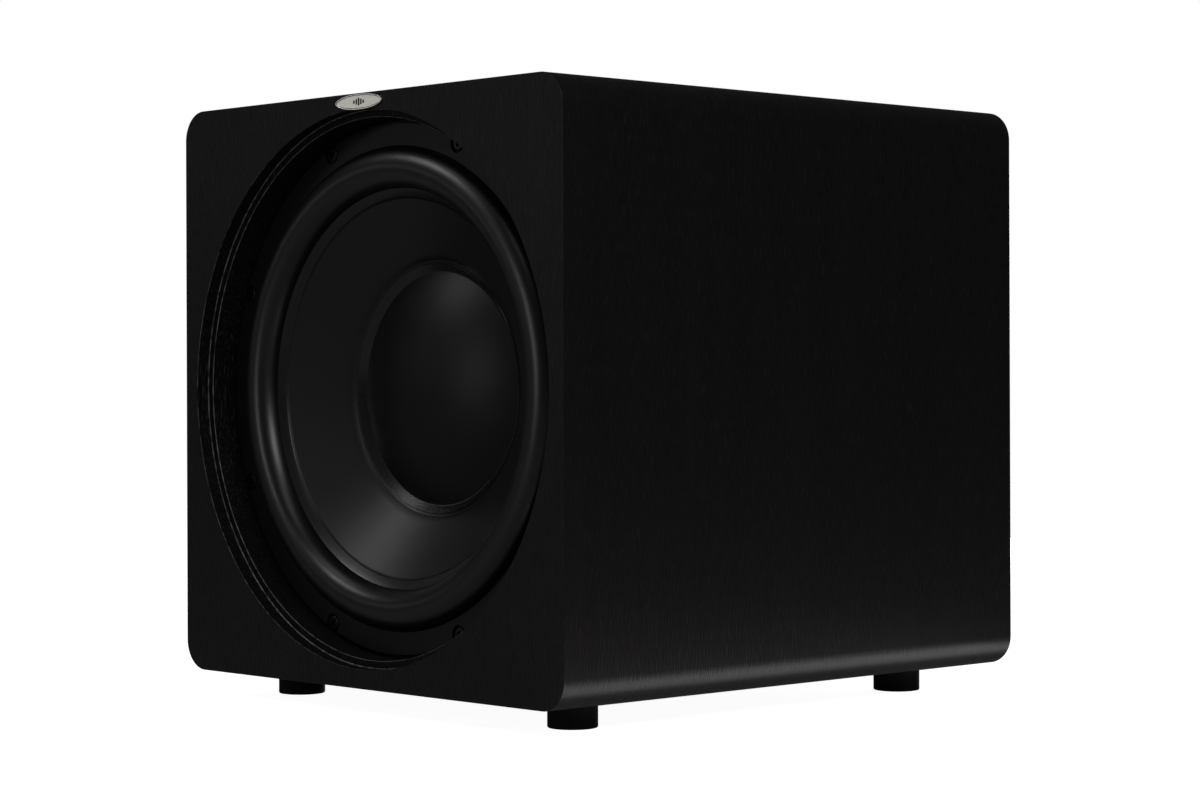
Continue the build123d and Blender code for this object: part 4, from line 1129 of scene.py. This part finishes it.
class CABINET_OT_amplifier_plate(bpy.types.Operator):
    """Punches the powder-coated plate and prints its dial marks"""

    bl_idname = "cabinet.amplifier_plate"
    bl_label = "Amplifier plate"

    def execute(self, context):
        sizes = context.scene.cabinet_plate
        low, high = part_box("amplifier_plate")
        plate = block("coated_plate", low, high)
        bevel_edges(plate, runs_back(0.002), sizes.corner, 8)
        middle = (low + high) / 2
        near, far = low.y - 0.001, high.y + 0.001
        holes = [(x, middle.z + JACK_UP, 0.00525, 48) for x in JACK_X]
        round_holes = [(knob + "_knob", 0.0037) for knob in KNOBS]
        for node, r in round_holes + [("toggle_switch", 0.0038), ("status_light", 0.00155)]:
            place = middle_of(node)
            holes.append((place.x, place.z, r, 48))
        holes += [(x, z, 0.00215, 24) for x, z in corner_pairs(low, high, SCREW_INSET)]
        for x, z, r, segments in holes:
            cut(plate, peg("hole", x, z, r, near, far, segments))
        # The rocker's opening is smaller than its bezel all round.
        a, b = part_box("power_switch")
        rim = 0.0009
        cut(plate, block("hole", (a.x + rim, near, a.z + rim), (b.x - rim, far, b.z - rim)))
        inlet = middle_of("mains_inlet")
        half_w, half_h = 0.0141, 0.0101
        a = (inlet.x - half_w, near, inlet.z - half_h)
        b = (inlet.x + half_w, far, inlet.z + half_h)
        cut(plate, block("hole", a, b))
        for x in (-0.020, 0.020):
            cut(plate, peg("hole", inlet.x + x, inlet.z, 0.0016, near, far, 24))
        ease(plate, sizes.ease, 3, 60)
        dress(plate, grained("black_powder_coat"), "plate_black", CABINET, "amplifier_plate", flat_faces=True)
        self.marks()
        return {"FINISHED"}

    def marks(self):
        """Eleven printed ticks round each knob, longer at the ends and the middle."""
        ticks = []
        face = plate_face()
        ink, reach, line = 0.00007, 0.0108, 0.00035
        for knob in KNOBS:
            place = middle_of(knob + "_knob")
            for k in range(11):
                tall = 0.0026 if k in (0, 5, 10) else 0.0016
                tick = block("tick", (-0.00022, 0, 0), (0.00022, ink, tall))
                turn = math.radians(-150 + 30 * k)
                tick.rotation_euler = (0, turn, 0)
                tick.location = (place.x + reach * math.sin(turn), face, place.z + reach * math.cos(turn))
                settle(tick)
                ticks.append(tick)
        for node, gap in (("power_switch", 0.0028), ("toggle_switch", 0.0035)):
            a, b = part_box(node)
            for under in (a.z - gap, b.z + gap - line):
                low, high = (a.x - gap, face, under), (b.x + gap, face + ink, under + line)
                ticks.append(block("line", low, high))
        marks = joined("dial_marks", ticks)
        dress(marks, grained("white_screen_print"), "nickel", CABINET)


def joined(name, parts):
    """Makes one piece of several."""
    put_down()
    for part in parts:
        part.select_set(True)
    bpy.context.view_layer.objects.active = parts[0]
    bpy.ops.object.join()
    piece = bpy.context.object
    piece.name = name
    put_down()
    return piece


class CABINET_OT_plate_screws(bpy.types.Operator):
    """Makes one pan-head screw with a cross recess and sets ten of them in the plate"""

    bl_idname = "cabinet.plate_screws"
    bl_label = "Plate screws"

    def execute(self, context):
        sizes = context.scene.cabinet_plate
        face = plate_face()
        low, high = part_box("amplifier_plate")
        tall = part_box("plate_screws")[1].y - face
        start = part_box("plate_screws")[0].y - face
        r = sizes.screw_r
        head = [(0, start), (0.0008, start), (0.002, start + 0.0025), (0.002, 0), (r, 0), (r, tall * 0.45)]
        head += arc(r - tall * 0.55, tall * 0.45, tall * 0.55, 0, 78, 6)[1:] + [(0, tall)]
        screw = turned("pan_screw", head, (0, 0, 0), segments=48)
        half, wide = 0.0024, 0.00045
        for x, z in ((half, wide), (wide, half)):
            cut(screw, block("recess", (-x, tall - 0.0012, -z), (x, tall + 0.001, z)))
        places = [(x, face, z) for x, z in corner_pairs(low, high, SCREW_INSET)]
        finish = grained("black_oxide_steel")
        for piece in copies(screw, "pan_screw", places):
            dress(piece, finish, "screw_black", CABINET, "plate_screws")
        return {"FINISHED"}


class CABINET_OT_heat_sink(bpy.types.Operator):
    """Extrudes the finned heat sink"""

    bl_idname = "cabinet.heat_sink"
    bl_label = "Heat sink"

    def execute(self, context):
        sizes = context.scene.cabinet_plate
        low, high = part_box("heat_sink")
        base_top = low.y + sizes.sink_base
        sink = block("finned_sink", low, (high.x, base_top, high.z))
        ease(sink, 0.0003, 2)
        fins = 12
        pitch = (high.x - low.x - sizes.fin) / (fins - 1)
        sunk, short = 0.0005, 0.0002
        a = (low.x, base_top - sunk, low.z + short)
        fin = block("fin", a, (low.x + sizes.fin, high.y, high.z - short))
        bevel_edges(fin, lambda e: all(v.co.y > high.y - 1e-6 for v in e.verts), 0.0006, 4)
        modify(fin, "ARRAY", count=fins, use_relative_offset=False, use_constant_offset=True,
               constant_offset_displace=(pitch, 0, 0))
        modify(sink, "BOOLEAN", operation="UNION", solver="EXACT", object=fin)
        bpy.data.objects.remove(fin)
        dress(sink, grained("black_anodised_aluminium"), "sink_black", CABINET, "heat_sink", flat_faces=True)
        return {"FINISHED"}


class CABINET_OT_knobs(bpy.types.Operator):
    """Moulds one fluted knob with a white pointer and fits it to each control"""

    bl_idname = "cabinet.knobs"
    bl_label = "Knobs"

    def execute(self, context):
        sizes = context.scene.cabinet_plate
        r, tall = sizes.knob_r, sizes.knob_h
        soft = 0.0008
        socket_r, socket = 0.0041, 0.0032
        profile = [(0, socket), (socket_r, socket), (socket_r, 0.0), (r - 0.0003, 0.0), (r, 0.0003)]
        profile += [(r, 0.0012), (r - 0.0004, 0.0016)]
        profile += arc(r - 0.0004 - soft, tall - soft, soft, 0, 90, 5)
        profile += [(r * 0.62, tall), (r * 0.56, tall - 0.00035), (0, tall - 0.00035)]
        knob = turned("fluted_knob", profile, (0, 0, 0), segments=112)
        flutes = []
        count, flute_r, skirt = 14, 0.0009, 0.0022
        for k in range(count):
            turn = math.radians((k + 0.5) * 360 / count)
            x, z = r * math.sin(turn), r * math.cos(turn)
            flutes.append(peg("flute", x, z, flute_r, skirt, tall + 0.001, 16))
        cut(knob, joined("flutes", flutes))
        slot = block("slot", (-0.0005, tall - 0.0006, r * 0.3), (0.0005, tall + 0.001, r * 0.93))
        cut(knob, slot)
        pointer = block("pointer", (-0.00045, tall - 0.0007, r * 0.31), (0.00045, tall - 0.0001, r * 0.92))
        plastic, white = grained("textured_black_abs"), grained("white_screen_print")
        boxes = [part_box(name + "_knob") for name in KNOBS]
        places = [((low.x + high.x) / 2, low.y, (low.z + high.z) / 2) for low, high in boxes]
        for name, piece in zip(KNOBS, copies(knob, "fluted_knob", places)):
            piece.name = name + "_fluted_knob"
            dress(piece, plastic, "knob_plastic", name + "_control", name + "_knob")
        for name, piece in zip(KNOBS, copies(pointer, "pointer", places)):
            piece.name = name + "_pointer"
            ease(piece, 0.0001, 1)
            dress(piece, white, "knob_plastic", name + "_control")
        return {"FINISHED"}


class CABINET_OT_line_jacks(bpy.types.Operator):
    """Turns the gold line sockets and their coloured collars"""

    bl_idname = "cabinet.line_jacks"
    bl_label = "Line jacks"

    def execute(self, context):
        sizes = context.scene.cabinet_plate
        low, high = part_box("line_jacks")
        face = plate_face()
        z = (low.z + high.z) / 2
        r, soft = sizes.jack_r, 0.0002
        start, end = low.y - face, high.y - face
        bore = r - 0.00075
        seat, shoulder = 0.0038, 0.0014
        profile = [(bore, start), (seat, start), (seat, shoulder), (r, shoulder), (r, end - 0.0007)]
        profile += [(r - 0.0003, end - 0.0004), (r - 0.0003, end - soft), (r - 0.0005, end)]
        profile += [(bore + 0.0001, end), (bore, end - soft)]
        sleeve = turned("gold_sleeve", profile, (0, 0, 0), segments=64)
        hole_r, neck_r, rim_r, rim, soft_rim = 0.00385, 0.0052, 0.0062, 0.0012, 0.0009
        collar_profile = [(hole_r, -0.003), (neck_r, -0.003), (neck_r, 0.0), (rim_r, 0.0), (rim_r, soft_rim)]
        collar_profile += [(0.0059, rim), (0.0041, rim), (hole_r, soft_rim)]
        collar = turned("collar", collar_profile, (0, 0, 0), segments=64)
        pin_r, core_end = 0.0016, 0.002
        core_profile = [(pin_r, start), (bore, start), (bore, core_end), (pin_r, core_end)]
        core = turned("core", core_profile, (0, 0, 0), segments=48)
        places = [(x, face, z) for x in JACK_X]
        plating = grained("gold_plate")
        red, white = grained("red_nylon"), grained("white_nylon")
        for piece in copies(sleeve, "gold_sleeve", places):
            dress(piece, plating, "gold_plate", CABINET, "line_jacks")
        collars = copies(collar, "collar", places)
        for k, (piece, heart) in enumerate(zip(collars, copies(core, "core", places))):
            for part in (piece, heart):
                dress(part, white if k % 2 else red, "switch_plastic", CABINET, "jack_insulators")
        return {"FINISHED"}


class CABINET_OT_switches(bpy.types.Operator):
    """Adds the toggle's nut, and finishes its switch, the mains switch, the inlet and the light"""

    bl_idname = "cabinet.switches"
    bl_label = "Switches"

    def execute(self, context):
        face = plate_face()
        place = middle_of("toggle_switch")
        bright = grained("polished_nickel")
        nut = turned(
            "toggle_nut",
            [(0.00365, 0.0), (0.0056, 0.0), (0.0056, 0.0013), (0.0050, 0.0016), (0.00365, 0.0016)],
            (place.x, face, place.z), segments=6,
        )
        ease(nut, 0.00012, 2)
        dress(nut, bright, "nickel", CABINET)
        repaint(["toggle_switch", "toggle_lever", "inlet_pins"] + [name + "_shaft" for name in KNOBS], bright)
        black = grained("textured_black_abs")
        repaint(["power_switch", "mains_inlet", "power_rocker"], black)
        repaint(["status_light"], grained("tinted_epoxy_lens"))
        repaint(["inlet_screws"], grained("zinc_plated_steel"))
        return {"FINISHED"}


INNER_PARTS = {
    "bare_fibreboard": "window_brace",
    "rolled_black_board": "side_panels top_panel bottom_panel corner_blocks back_panel",
    "zinc_plated_steel": "foot_screws tee_nuts amplifier_housing board_standoffs potentiometers "
    "top_plate yoke",
    "oversprayed": "driver_baffle",
    "planed_pine": "back_cleats",
    "polyester_wadding": "damping_lining",
    "painted_die_casting": "basket",
    "closed_cell_foam": "basket_gasket plate_gasket",
    "enamelled_copper": "voice_coil",
    "amber_polyimide": "voice_coil_former",
    "ground_ferrite": "magnet",
    "matte_foot_rubber": "magnet_boot",
    "phenolic_board": "terminal_strip",
    "black_pvc": "speaker_cable",
    "green_solder_resist": "circuit_board",
    "shrunk_sleeve": "capacitors",
    "yellow_polyester_tape": "transformer",
}


class CABINET_OT_inner_parts(bpy.types.Operator):
    """Finishes every part inside the box and behind the driver"""

    bl_idname = "cabinet.inner_parts"
    bl_label = "Inner parts"

    def execute(self, context):
        for finish, nodes in INNER_PARTS.items():
            repaint(nodes.split(), oversprayed_board() if finish == "oversprayed" else grained(finish))
        return {"FINISHED"}


# ---- Scene ---------------------------------------------------------------------------------------


def softbox(name, turn, rise, size, power):
    """An area light at one distance from the front, turned to face it."""
    aim, distance = Vector((0, -0.15, 0.23)), 2.2
    a, e = math.radians(turn), math.radians(rise)
    away = Vector((-math.sin(a) * math.cos(e), -math.cos(a) * math.cos(e), math.sin(e)))
    put_down()
    bpy.ops.object.light_add(type="AREA", location=aim + distance * away)
    lamp = bpy.context.object
    lamp.name = name
    lamp.data.shape = "RECTANGLE"
    lamp.data.size, lamp.data.size_y = size
    lamp.data.energy = power
    lamp.rotation_euler = (-away).to_track_quat("-Z", "Y").to_euler()
    lamp.visible_camera = False
    return lamp


class CABINET_OT_stage(bpy.types.Operator):
    """Lays the pale floor and backdrop and sets the studio lights and the camera"""

    bl_idname = "cabinet.stage"
    bl_label = "Stage"

    def execute(self, context):
        self.plain_floor("floor", 0.0, 0.80, 0.955)
        bounce = self.plain_floor("floor_bounce", -0.002, 0.30, 0.04)
        bounce.visible_camera = False
        put_down()
        bpy.ops.mesh.primitive_uv_sphere_add(segments=48, ring_count=24, radius=11.5, location=(0, 0, 0))
        backdrop = context.object
        backdrop.name = "backdrop"
        white, _, _ = new_finish(
            "white_backdrop", Roughness=1.0, Base_Color=(0, 0, 0, 1), Emission_Color=(1, 1, 1, 1),
            Emission_Strength=1.0,
        )
        backdrop.data.materials.append(white)
        for ray in ("diffuse", "glossy", "transmission", "volume_scatter", "shadow"):
            setattr(backdrop, "visible_" + ray, False)
        world = bpy.data.worlds.new("studio")
        world.use_nodes = True
        world.node_tree.nodes["Background"].inputs[0].default_value = (0.050, 0.050, 0.0505, 1)
        context.scene.world = world
        # Turn to the left of straight ahead and height above level, in degrees; size in metres; power.
        for lamp in (
            ("window_light", -70, 28, (1.1, 0.9), 17),
            ("key_light", 42, 38, (0.42, 0.36), 4.3),
            ("high_left", 48, 58, (0.9, 0.7), 2.3),
            ("high_right", -35, 52, (0.9, 0.7), 2.6),
            ("badge_card", 50, 9, (0.5, 0.24), 0.34),
            ("roll_strip", 13, 8, (0.3, 0.8), 3.2),
            ("rear_light", 164, 0, (0.9, 0.45), 16),
        ):
            softbox(*lamp)
        # A card lying beside the box and facing up, for the band of light along the side's lower edge.
        floor_card = softbox("floor_card", 0, 0, (0.05, 0.66), 0.26)
        floor_card.location = (0.245, -0.02, 0.003)
        floor_card.rotation_euler = (math.pi, 0, 0)
        context.scene.view_settings.view_transform = "Standard"
        self.camera(context)
        return {"FINISHED"}

    def plain_floor(self, name, height, pale, glow):
        """A wide plain floor.  The one that shows is white; the one that lights the object is greyer."""
        put_down()
        bpy.ops.mesh.primitive_plane_add(size=24.0, location=(0, 0, height))
        floor = bpy.context.object
        floor.name = name
        sheet, _, _ = new_finish(
            name + "_paper", Roughness=0.9, Specular_IOR_Level=0.1, Base_Color=(pale, pale, pale, 1),
            Emission_Color=(1, 1, 1, 1), Emission_Strength=glow,
        )
        floor.data.materials.append(sheet)
        if name == "floor":
            for ray in ("diffuse", "glossy", "transmission", "shadow"):
                setattr(floor, "visible_" + ray, False)
        return floor

    def camera(self, context):
        put_down()
        bpy.ops.object.camera_add(location=(1.602, -1.5003, 0.2406))
        camera = context.object
        camera.name = "camera"
        camera.rotation_euler = (math.radians(90.0), math.radians(0.187), math.radians(46.84))
        camera.data.lens = 86.4
        camera.data.sensor_width = 36.0
        camera.data.shift_y = -0.0206
        camera.data.clip_end = 60.0
        camera.data.dof.use_dof = False
        context.scene.camera = camera


OPERATORS = (
    CABINET_OT_veneer,
    CABINET_OT_opening,
    CABINET_OT_feet,
    CABINET_OT_badge,
    CABINET_OT_trim_ring,
    CABINET_OT_driver_screws,
    CABINET_OT_surround,
    CABINET_OT_cone,
    CABINET_OT_dust_cap,
    CABINET_OT_spider,
    CABINET_OT_tinsel_leads,
    CABINET_OT_amplifier_plate,
    CABINET_OT_plate_screws,
    CABINET_OT_heat_sink,
    CABINET_OT_knobs,
    CABINET_OT_line_jacks,
    CABINET_OT_switches,
    CABINET_OT_inner_parts,
    CABINET_OT_stage,
)


class CABINET_PT_sidebar(bpy.types.Panel):
    """One button for each group of pieces"""

    bl_idname = "CABINET_PT_sidebar"
    bl_label = "Subwoofer cabinet"
    bl_space_type = "VIEW_3D"
    bl_region_type = "UI"
    bl_category = "Cabinet"

    def draw(self, context):
        for operator in OPERATORS:
            self.layout.operator(operator.bl_idname)


GROUPS = {"cabinet_box": BoxSizes, "cabinet_driver": DriverSizes, "cabinet_plate": PlateSizes}


def register():
    for part in (*GROUPS.values(), *OPERATORS, CABINET_PT_sidebar):
        bpy.utils.register_class(part)
    for name, group in GROUPS.items():
        setattr(bpy.types.Scene, name, bpy.props.PointerProperty(type=group))


def unregister():
    for name in GROUPS:
        delattr(bpy.types.Scene, name)
    for part in (CABINET_PT_sidebar, *reversed(OPERATORS), *GROUPS.values()):
        bpy.utils.unregister_class(part)


def main():
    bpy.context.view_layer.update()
    register()
    for operator in OPERATORS:
        group, name = operator.bl_idname.split(".")
        getattr(getattr(bpy.ops, group), name)()
    put_down()


if __name__ == "__main__":
    main()
